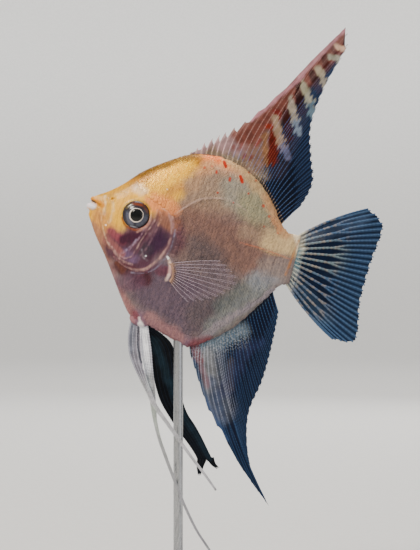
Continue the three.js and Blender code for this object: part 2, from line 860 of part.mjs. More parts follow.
fish.add(piece("pelvic_fin_left", geometryOf(leftPelvicFin()), 0xcfcbd3, 0.45));
fish.add(piece("pelvic_fin_right", geometryOf(rightPelvicFin()), 0x2e3550, 0.45));

model.add(piece("stand_base", standBase(), 0x2b2b2d, 0.35));
model.add(piece("stand_rod", uprightBar(ROD_RADIUS, BASE.height + GAP, rodTop), 0xb8babd, 0.3, 1));

export default model;
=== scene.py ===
"""The looks of a marble angelfish, Pterophyllum scalare, made as a life-size model on a display stand.

The fish has a frame of its own: s runs from the snout to the tail, y to its right and h up its back,
all in millimetres. FishFrame turns that frame into the world's, which is in metres.
"""

import logging
import math
from dataclasses import dataclass, field, replace
from enum import Enum
from functools import cached_property
from typing import Any, Sequence

import bpy
import numpy as np
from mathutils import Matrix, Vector, noise
from mathutils.bvhtree import BVHTree


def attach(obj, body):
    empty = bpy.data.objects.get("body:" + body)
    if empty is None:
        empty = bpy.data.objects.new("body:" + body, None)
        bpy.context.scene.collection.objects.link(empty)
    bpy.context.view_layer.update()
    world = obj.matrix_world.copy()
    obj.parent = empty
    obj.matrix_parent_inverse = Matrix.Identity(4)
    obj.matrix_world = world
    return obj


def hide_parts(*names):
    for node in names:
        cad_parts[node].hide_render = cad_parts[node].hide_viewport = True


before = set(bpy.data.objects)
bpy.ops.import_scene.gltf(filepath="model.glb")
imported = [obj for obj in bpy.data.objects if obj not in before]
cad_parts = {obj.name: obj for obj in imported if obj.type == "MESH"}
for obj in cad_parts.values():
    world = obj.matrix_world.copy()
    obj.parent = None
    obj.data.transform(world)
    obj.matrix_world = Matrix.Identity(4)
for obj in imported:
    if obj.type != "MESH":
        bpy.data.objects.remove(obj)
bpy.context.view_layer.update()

MM = 0.001  # metres in a millimetre
Array = np.ndarray
Points = Sequence[Sequence[float]]
Place = tuple[float, float]
Piece = bpy.types.Object
Material = bpy.types.Material
Socket = bpy.types.NodeSocket
log = logging.getLogger("angelfish")


class Side(Enum):
    """The two sides of the fish, with the sign of y on each."""

    LEFT = -1
    RIGHT = 1


# ---- Curves ----


def ease(x: Any) -> Array:
    """Returns 0 below 0, 1 above 1 and a smooth rise between."""
    x = np.clip(x, 0, 1)
    return x * x * (3 - 2 * x)


def hump(x: Any, width: float) -> Array:
    """Returns 1 at 0, falling away like a bell on both sides."""
    return np.exp(-np.square(x / width))


class SmoothLine:
    """A smooth function through points that go up in their first number."""

    def __init__(self, *points: Sequence[float]) -> None:
        """Takes the points.

        Args:
            points: Pairs of a place and the value there.
        """
        self.x, self.y = np.array(points, float).T
        last = len(self.x) - 1
        before = np.maximum(np.arange(last + 1) - 1, 0)
        after = np.minimum(np.arange(last + 1) + 1, last)
        self.slope = (self.y[after] - self.y[before]) / (self.x[after] - self.x[before])

    def __call__(self, x: Any) -> Array:
        """Finds the line's value.

        Args:
            x: A place or an array of places.

        Returns:
            The value at each.
        """
        i = np.clip(np.searchsorted(self.x, x) - 1, 0, len(self.x) - 2)
        span = self.x[i + 1] - self.x[i]
        t = np.clip((x - self.x[i]) / span, 0, 1)
        leave = t * (1 - t) ** 2 * self.slope[i] * span
        arrive = t * t * (1 - t) * self.slope[i + 1] * span
        return self.y[i] + (self.y[i + 1] - self.y[i]) * ease(t) + leave - arrive


class Trace:
    """A smooth curve through points of two or more numbers, read by its share of the length."""

    STEPS = 24  # samples between one point and the next

    def __init__(self, *points: Sequence[float]) -> None:
        """Samples a centripetal Catmull-Rom curve.

        Args:
            points: The places that the curve passes.
        """
        given = np.array(points, float)
        ends = [2 * given[0] - given[1], *given, 2 * given[-1] - given[-2]]
        samples = [given[:1]]
        t = np.linspace(0, 1, self.STEPS + 1)[1:, None]
        for a, b, c, d in zip(ends, ends[1:], ends[2:], ends[3:]):
            before, here, after = (max(np.linalg.norm(q - p), 1e-9) ** 0.5 for p, q in ((a, b), (b, c), (c, d)))
            leave = ((b - a) / before - (c - a) / (before + here) + (c - b) / here) * here
            arrive = ((c - b) / here - (d - b) / (here + after) + (d - c) / after) * here
            cubic = 2 * b - 2 * c + leave + arrive
            square = -3 * b + 3 * c - 2 * leave - arrive
            samples.append(b + leave * t + square * t**2 + cubic * t**3)
        self.samples = np.concatenate(samples)
        steps = np.linalg.norm(np.diff(self.samples, axis=0), axis=1)
        self.lengths = np.concatenate([[0.0], np.cumsum(steps)])

    def at(self, share: Any) -> Array:
        """Finds places on the curve.

        Args:
            share: Shares of its length, from 0 at the start to 1 at the end.

        Returns:
            The places.
        """
        wanted = np.clip(share, 0, 1) * self.lengths[-1]
        return np.stack([np.interp(wanted, self.lengths, column) for column in self.samples.T], -1)


# ---- The frame and the body's shape ----


@dataclass(frozen=True)
class FishFrame:
    """Where the fish hangs over its stand, and how far its snout is raised."""

    head_up: float = math.radians(14.5)
    snout: tuple[float, float, float] = (-41.0, 0.0, 131.0)

    @cached_property
    def axes(self) -> Array:
        """The directions of s, y and h in the world, one to a row."""
        c, k = math.cos(self.head_up), math.sin(self.head_up)
        return np.array([[c, 0, -k], [0, 1, 0], [k, 0, c]])

    def to_world(self, places: Any) -> Array:
        """Returns places of s, y and h in the world, in metres."""
        return (np.asarray(places, float) @ self.axes + self.snout) * MM

    def from_world(self, places: Any) -> Array:
        """Returns places of the world, in metres, as s, y and h."""
        return (np.asarray(places, float) / MM - self.snout) @ self.axes.T


FISH = FishFrame()


@dataclass(frozen=True)
class BodyShape:
    """The outline of the body from the side, and its width, from the snout to the tail."""

    back: SmoothLine = SmoothLine(
        (0.3, 2.8), (2, 4.2), (6, 6.9), (10, 10.4), (15, 15.8), (21, 20.5), (28.6, 25.2), (33, 26.4),
        (39.3, 27), (46.6, 25.6), (52.9, 22.5), (58.4, 17.7), (64.5, 10.2), (67.5, 8.1), (71, 8.3), (74, 9.0),
    )
    belly: SmoothLine = SmoothLine(
        (0.3, -1.8), (2, -4), (5, -8.6), (10, -14.8), (15, -21.7), (19, -27.2), (23.1, -31.8), (30.3, -33.6),
        (37.4, -35.6), (41.5, -36.7), (44.7, -37), (49.6, -33.9), (57, -27.3), (64.3, -16.6), (68.1, -10.4),
        (71, -8.6), (74, -9.3),
    )
    half_width: SmoothLine = SmoothLine(
        (0, 1), (2.3, 2), (5, 3.2), (10, 4.6), (17, 5.9), (24, 6.8), (31, 7.1), (38, 6.8), (46, 5.7),
        (54, 4.3), (61, 3), (66, 2.2), (69.5, 1.7), (71.6, 1.05), (74, 0.7),
    )
    widest: SmoothLine = SmoothLine(  # the height of the greatest width
        (0, 0.8), (8, -1.5), (20, -4.5), (32, -6), (45, -4), (58, -1), (71, -0.3), (74, 0),
    )
    back_flat: SmoothLine = SmoothLine((0, 0.8), (20, 0.6), (62, 0.6), (71, 0.9), (74, 0.6))  # half its width
    belly_flat: SmoothLine = SmoothLine(
        (0, 0.8), (14, 1.1), (23, 2.3), (31, 2.1), (40, 1.1), (45, 0.6), (64, 0.6), (71, 0.9), (74, 0.6),
    )
    roundness: float = 1.2  # 1 is an ellipse, and more makes a sharper back and belly
    head_start: float = 1.9
    end: float = 71.7
    nose_round: float = 0.7
    nose_share: float = 0.72

    def section_half(self, s: Any, rise: Any) -> Array:
        """Finds half the width of a cross-section.

        Args:
            s: Its place.
            rise: Where in it, from -1 at the belly to 1 at the back.

        Returns:
            Half the width there.
        """
        flat = np.where(np.asarray(rise) > 0, self.back_flat(s), self.belly_flat(s))
        fullness = np.sqrt(np.clip(1 - np.square(rise), 0, None)) ** self.roundness
        return flat + (self.half_width(s) - flat) * fullness

    def flank(self, s: Any, h: Any) -> Array:
        """Finds how far the flank is from the middle plane.

        Args:
            s: Places along the body.
            h: Heights.

        Returns:
            Half the width at each.
        """
        level = self.widest(s)
        edge = np.where(h > level, self.back(s), self.belly(s))
        rise = np.clip((h - level) / (edge - level), 0, 1)
        return self.section_half(s, np.where(h > level, rise, -rise))

    def rim(self, s: Array, h: Array) -> Array:
        """Returns how far places are from the edge of the back or the belly."""
        return np.minimum(self.back(s) - h, h - self.belly(s))

    def ring(self, s: float, count: int, inset: float) -> Array:
        """Makes a ring round the body, from the back down the left side and up the right.

        Args:
            s: Its place.
            count: Points on each side.
            inset: How far it is drawn in from the outline.

        Returns:
            Its points.
        """
        turn = np.linspace(0, math.pi, count)
        rise = 0.5 * np.cos(turn) + 0.5 * (1 - 2 * turn / math.pi)
        edge = np.where(rise > 0, self.back(s) - inset, self.belly(s) + inset)
        level = self.widest(s)
        h = level + np.abs(rise) * (edge - level)
        y = np.maximum(self.section_half(s, rise) - inset, 0.15)
        left = np.stack([np.full(count, s), -y, h], -1)
        return np.concatenate([left, (left * (1, -1, 1))[::-1]])


BODY = BodyShape()


# ---- Meshes ----


@dataclass
class Form:
    """Points with faces or loose edges, and values for each point."""

    points: Array
    faces: Sequence[Sequence[int]] = ()
    edges: Sequence[Sequence[int]] = ()
    values: dict[str, Array] = field(default_factory=dict)

    @staticmethod
    def joined(forms: Sequence["Form"]) -> "Form":
        """Joins several forms.

        Args:
            forms: The forms, which all have the same kinds of values.

        Returns:
            One form.
        """
        faces: list[Sequence[int]] = []
        edges: list[Sequence[int]] = []
        start = 0
        for form in forms:
            faces += [[i + start for i in face] for face in form.faces]
            edges += [[i + start for i in edge] for edge in form.edges]
            start += len(form.points)
        values = {key: np.concatenate([form.values[key] for form in forms]) for key in forms[0].values}
        return Form(np.concatenate([form.points for form in forms]), faces, edges, values)

    def flipped(self) -> "Form":
        """Returns the form with its faces turned over."""
        return replace(self, faces=[tuple(reversed(face)) for face in self.faces])

    def make(self, name: str) -> Piece:
        """Makes an object at the origin, with its place in its mesh.

        Args:
            name: Name of the object.

        Returns:
            The object.
        """
        mesh = bpy.data.meshes.new(name)
        mesh.from_pydata(FISH.to_world(self.points).tolist(), list(self.edges), list(self.faces))
        for key, value in self.values.items():
            kind, slot = ("FLOAT_VECTOR", "vector") if value.ndim > 1 else ("FLOAT", "value")
            attribute = mesh.attributes.new(key, kind, "POINT")
            attribute.data.foreach_set(slot, value.astype(np.float32).ravel())
        mesh.update()
        made = bpy.data.objects.new(name, mesh)
        bpy.context.scene.collection.objects.link(made)
        return made


def loft(rings: Sequence[Array]) -> Form:
    """Makes a closed skin over rings.

    Args:
        rings: The rings in order, with as many points each; a fan closes each end.

    Returns:
        The form.
    """
    count = len(rings[0])
    middle = count * len(rings)
    last = middle - count
    faces: list[Sequence[int]] = []
    for start in range(0, last, count):
        for i in range(count):
            a, b = start + i, start + (i + 1) % count
            faces.append((a, b, b + count, a + count))
    for i in range(count):
        j = (i + 1) % count
        faces += [(j, i, middle), (last + i, last + j, middle + 1)]
    return Form(np.concatenate([*rings, rings[0].mean(0)[None], rings[-1].mean(0)[None]]), faces)


def tube(path: Array, thick: Array, sides: int = 16) -> Form:
    """Makes a closed tube.

    Args:
        path: Places of its middle line.
        thick: Radius at each place.
        sides: Points round it.

    Returns:
        The form.
    """
    way = np.gradient(path, axis=0)
    way /= np.linalg.norm(way, axis=1)[:, None]
    up = np.cross(way, (0.31, 0.17, 0.94))  # any direction that the path never takes
    up /= np.linalg.norm(up, axis=1)[:, None]
    across = np.cross(way, up)
    turn = np.linspace(0, 2 * math.pi, sides, endpoint=False)[:, None]
    return loft([p + r * (np.cos(turn) * u + np.sin(turn) * a) for p, r, u, a in zip(path, thick, up, across)])


def pad(middle: Sequence[float], radii: Sequence[float], turn: float = 0.0) -> Form:
    """Makes an egg-shaped pad of flesh.

    Args:
        middle: Its middle in s, y and h.
        radii: Its radii along s, y and h before it is turned.
        turn: Degrees that it is turned in the plane of the flank, s towards h.

    Returns:
        The form.
    """
    around = np.linspace(0, 2 * math.pi, 20, endpoint=False)
    c, k = math.cos(math.radians(turn)), math.sin(math.radians(turn))
    rings = []
    for polar in np.linspace(0.12, math.pi - 0.12, 14):
        s = radii[0] * np.cos(polar) + 0 * around
        y = radii[1] * np.sin(polar) * np.cos(around)
        h = radii[2] * np.sin(polar) * np.sin(around)
        rings.append(np.stack([s * c - h * k, y, s * k + h * c], -1) + middle)
    return loft(rings)


def evaluated(made: Piece) -> Piece:
    """Turns an object's modifiers into its mesh and takes them away.

    Args:
        made: The object.

    Returns:
        The same object.
    """
    graph = bpy.context.evaluated_depsgraph_get()
    mesh = bpy.data.meshes.new_from_object(made.evaluated_get(graph), preserve_all_data_layers=True, depsgraph=graph)
    made.modifiers.clear()
    old, made.data = made.data, mesh
    mesh.name = made.name
    bpy.data.meshes.remove(old)
    return made


def grown(made: Piece, tree: bpy.types.NodeTree, inputs: dict[str, Any]) -> Piece:
    """Turns an object into what a tree of Geometry Nodes makes of it.

    Args:
        made: The object.
        tree: The tree.
        inputs: Values of its inputs, by name.

    Returns:
        The same object, as a plain mesh.
    """
    modifier = made.modifiers.new(tree.name, "NODES")
    modifier.node_group = tree
    for item in tree.interface.items_tree:
        if item.in_out == "INPUT" and item.name in inputs:
            modifier[item.identifier] = inputs[item.name]
    return evaluated(made)


def read(elements: Any, key: str, width: int, kind: type) -> Array:
    """Reads one value of all points, edges or faces of a mesh.

    Args:
        elements: The points, edges or faces.
        key: Name of the value.
        width: How many numbers it has.
        kind: Their type.

    Returns:
        The values, one to a row.
    """
    values = np.empty(len(elements) * width, kind)
    elements.foreach_get(key, values)
    return values.reshape(-1, width)


def ride(piece: Piece, slot: str, *nodes: str) -> None:
    """Puts a finished piece on the part.

    Args:
        piece: The piece.
        slot: Name of a material slot for the piece; not used.
        nodes: The solids that it stands for.
    """
    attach(piece, "root")
    if nodes:
        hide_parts(*nodes)
    log.info("%s: %d points, %d faces", piece.name, len(piece.data.vertices), len(piece.data.polygons))


# ---- Nodes ----

MATH = "ShaderNodeMath"
VECTOR = "ShaderNodeVectorMath"
XYZ = "ShaderNodeCombineXYZ"
RANGE = "ShaderNodeMapRange"  # its inputs are a value, the range that it comes from and the one that it goes to
CARRIED = "ShaderNodeAttribute"  # a value that a piece's points carry
NAMED = "GeometryNodeInputNamedAttribute"
STORE = "GeometryNodeStoreNamedAttribute"
USUAL = {RANGE: {"interpolation_type": "SMOOTHSTEP"}, "ShaderNodeMix": {"data_type": "RGBA"}}  # a node's settings


class Nodes:
    """A tree of nodes that is being built."""

    def __init__(self, tree: bpy.types.NodeTree) -> None:
        """Takes the tree."""
        self.tree = tree

    @classmethod
    def group(cls, name: str, kind: str, inputs: dict[str, str], outputs: dict[str, str]) -> tuple["Nodes", Any]:
        """Starts a tree with named sockets.

        Args:
            name: Its name.
            kind: Its type.
            inputs: The type of each input, by name.
            outputs: The same for its outputs.

        Returns:
            The nodes, and the sockets of the inputs.
        """
        nodes = cls(bpy.data.node_groups.new(name, kind))
        for way, sockets in (("INPUT", inputs), ("OUTPUT", outputs)):
            for label, socket in sockets.items():
                nodes.tree.interface.new_socket(label, in_out=way, socket_type="NodeSocket" + socket)
        return nodes, nodes.add("NodeGroupInput", output=None)

    def dressed(self, geometry: Socket, finish: Socket) -> bpy.types.NodeTree:
        """Ends a tree of Geometry Nodes with smooth faces and a material.

        Args:
            geometry: What it makes, with its instances realized.
            finish: The material.

        Returns:
            The tree.
        """
        smooth = self.add("GeometryNodeSetShadeSmooth", (geometry,))
        made = self.add("GeometryNodeSetMaterial", {"Geometry": smooth, "Material": finish})
        self.add("NodeGroupOutput", (made,), None)
        return self.tree

    def add(self, kind: str, inputs: Any = (), output: Any = 0, **settings: Any) -> Any:
        """Adds a node with its settings and links.

        Args:
            kind: The node's type.
            inputs: The socket that each input is linked to, or its value, in order or by name or number;
                a list holds several links to one input.
            output: Name or number of the output that is wanted, or None for all of them.
            settings: The node's own settings.

        Returns:
            The output.
        """
        node = self.tree.nodes.new(kind)
        for key, value in {**USUAL.get(kind, {}), **settings}.items():
            setattr(node, key, value)
        for key, value in (inputs if isinstance(inputs, dict) else dict(enumerate(inputs))).items():
            for one in value if isinstance(value, list) else [value]:
                if isinstance(one, Socket):
                    self.tree.links.new(one, node.inputs[key])
                else:
                    node.inputs[key].default_value = one
        return node.outputs[output] if output is not None else node.outputs


def colour(code: str) -> tuple[float, float, float, float]:
    """Turns an sRGB colour to linear light.

    Args:
        code: The colour as hex.

    Returns:
        The colour, opaque.
    """
    parts = [int(code[i : i + 2], 16) / 255 for i in (1, 3, 5)]
    linear = [p / 12.92 if p <= 0.04045 else ((p + 0.055) / 1.055) ** 2.4 for p in parts]
    return (*linear, 1.0)


@dataclass(frozen=True)
class Mark:
    """A soft stroke of colour on the fish, from one place of s and h to another, in millimetres."""

    start: Place
    end: Place
    core: float  # radius inside which the colour is full
    reach: float  # radius at which it ends
    tint: str
    strength: float = 1.0


def strokes(*rows: Sequence[Any]) -> tuple[Mark, ...]:
    """Returns marks from rows of both places, core, reach, tint and strength."""
    return tuple(Mark(row[:2], row[2:4], *row[4:]) for row in rows)


@dataclass(frozen=True)
class Line:
    """A fine mark that follows a smooth curve of s and h, in millimetres, and fades in and out along it."""

    points: Points
    core: float
    reach: float
    tint: str
    strength: float = 1.0
    steps: int = 24
    broken: float = 0.75  # how much of it fades away in the gaps
    gap: float = 0.9  # width in millimetres of the noise that makes them


@dataclass(frozen=True)
class Markings:
    """A ground colour with soft marks laid over it in order, worked out for points of a piece."""

    ground: str
    marks: Sequence[Mark | Line]
    patch: float = 4.0  # width in millimetres of the noise that makes the marks' edges ragged
    push: float = 1.1  # how far it moves them
    fine_patch: float = 0.3  # the same for finer noise, as shares of the broad one's
    fine_push: float = 0.35
    line_push: float = 0.12  # share of the push that the fine noise gives to lines
    seed: int = 5  # of the noise, so that each run gets the same

    def tints(self, places: Array) -> Array:
        """Works out the colours.

        Args:
            places: Places of s, y and h.

        Returns:
            The linear colour at each.
        """
        noise.seed_set(self.seed)
        broad = np.array([noise.noise_vector(Vector(place)) for place in places / self.patch])
        fine = np.array([noise.noise_vector(Vector(place)) for place in places / (self.fine_patch * self.patch)])
        pushed = places + self.push * broad + self.fine_push * self.push * fine
        nearly = places + self.line_push * self.push * fine
        tints = np.tile(colour(self.ground)[:3], (len(places), 1))
        for mark in self.marks:
            if isinstance(mark, Line):
                path, flat = Trace(*mark.points).at(np.linspace(0, 1, mark.steps)), nearly[:, (0, 2)]
            else:
                path, flat = np.array([mark.start, mark.end]), pushed[:, (0, 2)]
            near = np.all((flat > path.min(0) - mark.reach) & (flat < path.max(0) + mark.reach), axis=1)
            off = flat[near, None] - path[:-1]
            way = np.diff(path, axis=0)
            share = np.clip((off * way).sum(-1) / np.maximum((way**2).sum(-1), 1e-9), 0, 1)
            away = np.linalg.norm(off - share[..., None] * way, axis=-1).min(1)
            amount = mark.strength * (1 - ease((away - mark.core) / (mark.reach - mark.core)))
            if isinstance(mark, Line):
                cloud = np.array([noise.noise(Vector(place)) for place in places[near] / mark.gap])
                amount *= 1 - mark.broken * ease(0.5 - 1.6 * cloud)
            tints[near] += amount[:, None] * (np.array(colour(mark.tint)[:3]) - tints[near])
        return tints


def stroke_group() -> bpy.types.NodeTree:
    """Makes the group that says how much of a stroke a place gets.

    Returns:
        The group, which is made once.
    """
    name = "soft stroke"
    if name in bpy.data.node_groups:
        return bpy.data.node_groups[name]
    inputs = {"Place": "Vector", "Start": "Vector", "End": "Vector", "Core": "Float", "Reach": "Float",
              "Strength": "Float"}
    nodes, given = Nodes.group(name, "ShaderNodeTree", inputs, {"Amount": "Float"})
    off = nodes.add(VECTOR, (given["Place"], given["Start"]), operation="SUBTRACT")
    span = nodes.add(VECTOR, (given["End"], given["Start"]), operation="SUBTRACT")
    along = nodes.add(VECTOR, (off, span), "Value", operation="DOT_PRODUCT")
    whole = nodes.add(VECTOR, (span, span), "Value", operation="DOT_PRODUCT")
    share = nodes.add(MATH, (along, whole), operation="DIVIDE", use_clamp=True)
    nearest = nodes.add(VECTOR, {0: span, "Scale": share}, operation="SCALE")
    away = nodes.add(VECTOR, (off, nearest), "Value", operation="DISTANCE")
    amount = nodes.add(RANGE, (away, given["Core"], given["Reach"], given["Strength"], 0.0))
    nodes.add("NodeGroupOutput", (amount,), None)
    return nodes.tree


class Painter(Nodes):
    """Builds one material, whose pattern lies in the fish's own frame."""

    def __init__(self, name: str) -> None:
        """Starts the material.

        Args:
            name: Its name.
        """
        self.material = bpy.data.materials.new(name)
        self.material.use_nodes = True
        super().__init__(self.material.node_tree)
        self.tree.nodes.clear()
        turn = {"Location": tuple(-(FISH.axes @ np.array(FISH.snout))), "Rotation": (0, -FISH.head_up, 0),
                "Scale": (1 / MM,) * 3}
        self.world = self.add("ShaderNodeTexCoord", output="Object")
        self.place = self.add("ShaderNodeMapping", {"Vector": self.world, **turn})  # s, y and h in millimetres
        self.flat = self.add(VECTOR, (self.place, (1, 0, 1)), operation="MULTIPLY")

    def noise(self, size: float, stretch: Sequence[float] = (1, 1, 1), detail: float = 3.0,
              output: str = "Fac") -> Socket:
        """Makes cloudy noise.

        Args:
            size: Width of its patches in millimetres.
            stretch: How much finer it is along s, y and h.
            detail: How many finer layers it has.
            output: Whether it is one number, Fac, or three, Color.

        Returns:
            The noise.
        """
        where = self.add(VECTOR, (self.place, tuple(x / size for x in stretch)), operation="MULTIPLY")
        return self.add("ShaderNodeTexNoise", {"Vector": where, "Scale": 1.0, "Detail": detail}, output)

    def shifted(self, size: float, amount: float) -> Socket:
        """Pushes the place in the plane of the flank about by noise, so that edges are ragged.

        Args:
            size: Width of the noise's patches.
            amount: How far it pushes, both in millimetres.

        Returns:
            The place.
        """
        noisy = self.noise(size, detail=2.0, output="Color")
        centred = self.add(VECTOR, (noisy, (0.5, 0.5, 0.5)), operation="SUBTRACT")
        push = self.add(VECTOR, (centred, (2 * amount, 0, 2 * amount)), operation="MULTIPLY")
        return self.add(VECTOR, (self.flat, push), operation="ADD")

    def layers(self, ground: Any, *layers: Sequence[Any]) -> Socket:
        """Lays colours over a ground in order.

        Args:
            ground: The colour below.
            layers: For each, how much of it there is, its colour, and how it mixes if it isn't plainly.

        Returns:
            The colour.
        """
        for amount, tint, *blend in layers:
            tint = colour(tint) if isinstance(tint, str) else tint
            ground = self.add("ShaderNodeMix", {0: amount, 6: ground, 7: tint}, 2, blend_type=(*blend, "MIX")[0])
        return ground

    def relief(self, *layers: tuple[Socket, float]) -> Socket:
        """Presses relief into the surface.

        Args:
            layers: For each, its height from 0 to 1, and what 1 stands for in millimetres.

        Returns:
            The direction of the surface.
        """
        under: dict[str, Socket] = {}
        for height, depth in layers:
            inputs = {"Height": height, "Distance": depth * MM, "Strength": 1.0}
            under = {"Normal": self.add("ShaderNodeBump", {**inputs, **under})}
        return under["Normal"]

    def stroke(self, where: Socket, mark: Mark) -> Socket:
        """Works out how much of a mark a place gets.

        Args:
            where: The place.
            mark: The mark.

        Returns:
            The amount.
        """
        (s, h), (end_s, end_h) = mark.start, mark.end
        values = (where, (s, 0, h), (end_s, 0, end_h), mark.core, mark.reach, mark.strength)
        return self.add("ShaderNodeGroup", values, node_tree=stroke_group())

    def marks(self, ground: Any, where: Socket, marks: Sequence[Mark]) -> Socket:
        """Lays marks over a colour in order.

        Args:
            ground: The colour.
            where: The place that the marks read.
            marks: The marks.

        Returns:
            The colour with the marks.
        """
        return self.layers(ground, *((self.stroke(where, mark), mark.tint) for mark in marks))

    def line(self, ground: Any, where: Socket, line: Line) -> Socket:
        """Lays a line over a colour, fading in and out along it.

        Args:
            ground: The colour.
            where: The place that the line reads.
            line: The line.

        Returns:
            The colour with the line.
        """
        path = Trace(*line.points).at(np.linspace(0, 1, line.steps + 1)).tolist()
        amount: Any = 0.0
        for start, end in zip(path, path[1:]):
            part = self.stroke(where, Mark(start, end, line.core, line.reach, line.tint, line.strength))
            amount = self.add(MATH, (amount, part), operation="MAXIMUM")
        fade = self.add(RANGE, (self.noise(line.gap, detail=1.0), 0.35, 0.6, 1 - line.broken, 1.0))
        return self.layers(ground, (self.add(MATH, (amount, fade), operation="MULTIPLY"), line.tint))

    def finish(self, inputs: dict[str, Any]) -> Material:
        """Ends the material in one surface shader.

        Args:
            inputs: The shader's inputs.

        Returns:
            The material.
        """
        self.add("ShaderNodeOutputMaterial", (self.add("ShaderNodeBsdfPrincipled", inputs),), None)
        return self.material


# ---- The colours of the body ----

GROUND = "#7e6f6e"  # the flank, beige over mauve flesh
BODY_MARKS = strokes(
    # The flank, from the back down; it darkens downwards, partly in its own colours and partly as painted shade of the
    # lower body.
    (30, 14, 46, 19, 6, 13, "#947c6a"),
    (46, 17.5, 53, 14, 3, 8, "#908c80", 0.8),
    (53, 14, 60, 8, 3, 8, "#918c6e", 0.8),
    (34, 0, 57, -1, 5, 13, "#785850", 0.85),
    (38, -5, 44, -8, 2, 8, "#554e54", 0.7),
    (29, -20, 42, -24, 6, 13, "#55465a", 0.85),
    (50, -14, 46, -26, 3, 9, "#5c5256", 0.7),
    (52, -21, 60, -12, 1.5, 5, "#606a6a", 0.7),
    (50, -29, 64, -13, 1.2, 5, "#797d7f", 0.75),
    (60, -10, 66, -7, 1, 5, "#878c96", 0.7),
    (45, -35.5, 67, -12, 0.5, 1.6, "#908690", 0.8),
    # The tail stalk.
    (52.5, 4.6, 60, 4, 0.3, 4.2, "#a48a74", 0.6),
    (62, 4, 71, 4.5, 1.6, 5.5, "#caac80", 0.95),
    (62, -4, 71, -4.5, 2, 4.5, "#857673", 0.85),
    (70.5, 8, 71.2, 4, 0.5, 2.2, "#fceac9", 0.7),
    # The band along the back.
    (33, 26.5, 46, 26, 1.5, 5, "#fc9c61", 0.9),
    (43, 27, 58, 19, 1, 4.2, "#bf9d70", 0.9),
    (57, 18, 66, 8.5, 0.8, 3.6, "#bc8c61", 0.9),
    (60.5, 11, 63, 9, 0.3, 2, "#b4764f", 0.7),
    (34, 26, 38, 25.5, 0.5, 2.4, "#f17132", 0.8),
    (36, 22.6, 46, 22.4, 0.3, 2.8, "#c0977a", 0.45),
    # The belly.
    (24, -33, 43, -37.5, 1.5, 5.5, "#826379", 0.95),
    (29, -31.2, 40, -34.6, 1.0, 3.2, "#966c70", 0.85),
    (45.5, -36, 49, -34, 0.8, 3.2, "#81454f", 0.9),
    (8, -14, 23, -33.5, 0.8, 3.6, "#a06a6b", 0.8),
    # The head: gold above, cream before the eye, peach behind it.
    (4, 0, 15, 6, 6, 12, "#ecb02a"),
    (12, 8, 22, 12.5, 5.5, 9.5, "#f0b030"),
    (3, 4, 14, 14.5, 1.5, 4.5, "#c28a04", 0.95),
    (14, 14.5, 29.5, 24.5, 2, 6.5, "#a46a02", 0.95),
    # The brightest gold, where the nape glints: its own gold lightened by painted highlight.
    (22.5, 16, 28.5, 20.5, 1, 5, "#fcb525", 0.9),
    (19.6, 13.2, 21.5, 14, 0.6, 3, "#f3ad2c", 0.9),
    (13, 14.4, 29, 25.4, 0.6, 2.6, "#704c04", 0.85),
    (31, 14.5, 31.8, 18, 0.8, 4.2, "#ab8463", 0.6),
    (32.4, 20.2, 36, 23, 0.4, 3.2, "#d6935e", 0.5),
    (15, 9.8, 16.5, 9.3, 0.4, 2.3, "#fad8b4", 0.65),
    (21.5, 6.5, 26, 6, 1.5, 5, "#ea8b53", 0.85),
    (25, 11, 27.5, 14, 0.3, 3, "#b57545", 0.6),
    (4, -7, 10, -13.5, 1.5, 4.5, "#a36e56", 0.9),
    (5, -2, 9, -5, 1, 4, "#cd8b4d", 0.8),
    # The gill cover and the cheek.
    (20, -8, 27, -3, 5, 8.5, "#5a3a46", 0.95),
    (13, -11, 22, -14, 3, 6, "#4c2c3c", 0.95),
    (25.5, 2.6, 28.5, 1, 1.5, 4, "#855743", 0.85),
    (26.8, -4.6, 24.6, -8.4, 1, 4.2, "#301432", 0.95),
    (21.4, -10.6, 23.4, -8.6, 0.5, 3, "#392e39", 0.7),
    (10.4, -6.6, 14.8, -8, 0.7, 2.7, "#843f4b", 0.95),
    (15, -7.8, 20.4, -5.4, 0.9, 2.8, "#390e29", 0.95),
    (16.6, -12.2, 19.5, -13, 0.5, 2.6, "#685070", 0.8),
    (9, -9.2, 15, -12.6, 0.4, 1.8, "#8e5453", 0.8),
    (15, -17.2, 25, -18.6, 0.9, 3, "#40161e", 0.9),
    (14.2, -16.4, 17.6, -17.9, 0.2, 1.3, "#603122", 0.7),
    (17.5, -22, 23, -20, 1, 4, "#593c50", 0.7),
    (28.4, -14.6, 30.6, -14.8, 0.9, 2.8, "#593243", 0.9),
    (31.2, -3, 31.4, -8, 0.3, 1.4, "#49353e", 0.8),
)
# Fine lines: the lateral line, the edges of the gill cover and the cheek, and the folds at the mouth.
LATERAL_LINE = ((29.2, 4.6), (32.9, 8.7), (36, 11.4), (40.5, 13), (45, 13.7), (49, 12.8), (52.2, 11.4))
REAR_LATERAL_LINE = ((52.5, 0.9), (60, 0.8), (70.5, -0.3))
GILL_EDGE = ((13.2, -14.2), (17.5, -16.1), (21.6, -16.5), (24.6, -15.2), (27.2, -12), (29, -8.3), (29.8, -4.2),
             (29.5, -0.8), (28.4, 2.2), (26.8, 4.5))
GILL_MEMBRANE = ((15.5, -16.2), (20, -17.7), (25, -16.7), (28.2, -13.4), (30, -9.5), (30.8, -5), (30.6, -0.5))
CHEEK_EDGE = ((23.1, 4.4), (23.4, 1.6), (22.6, -1.4), (21.3, -4.4), (20.4, -7.3), (19.6, -10.2), (18.6, -12.7),
              (16.6, -13.8), (14, -12.7), (11.4, -11))
JAW_FOLD = ((4.6, -1.3), (6, -4.6), (8, -8.4), (10.6, -11.8))
LIP_FOLD = ((5.0, 4.6), (5.9, 1.8), (6.3, -1.2))
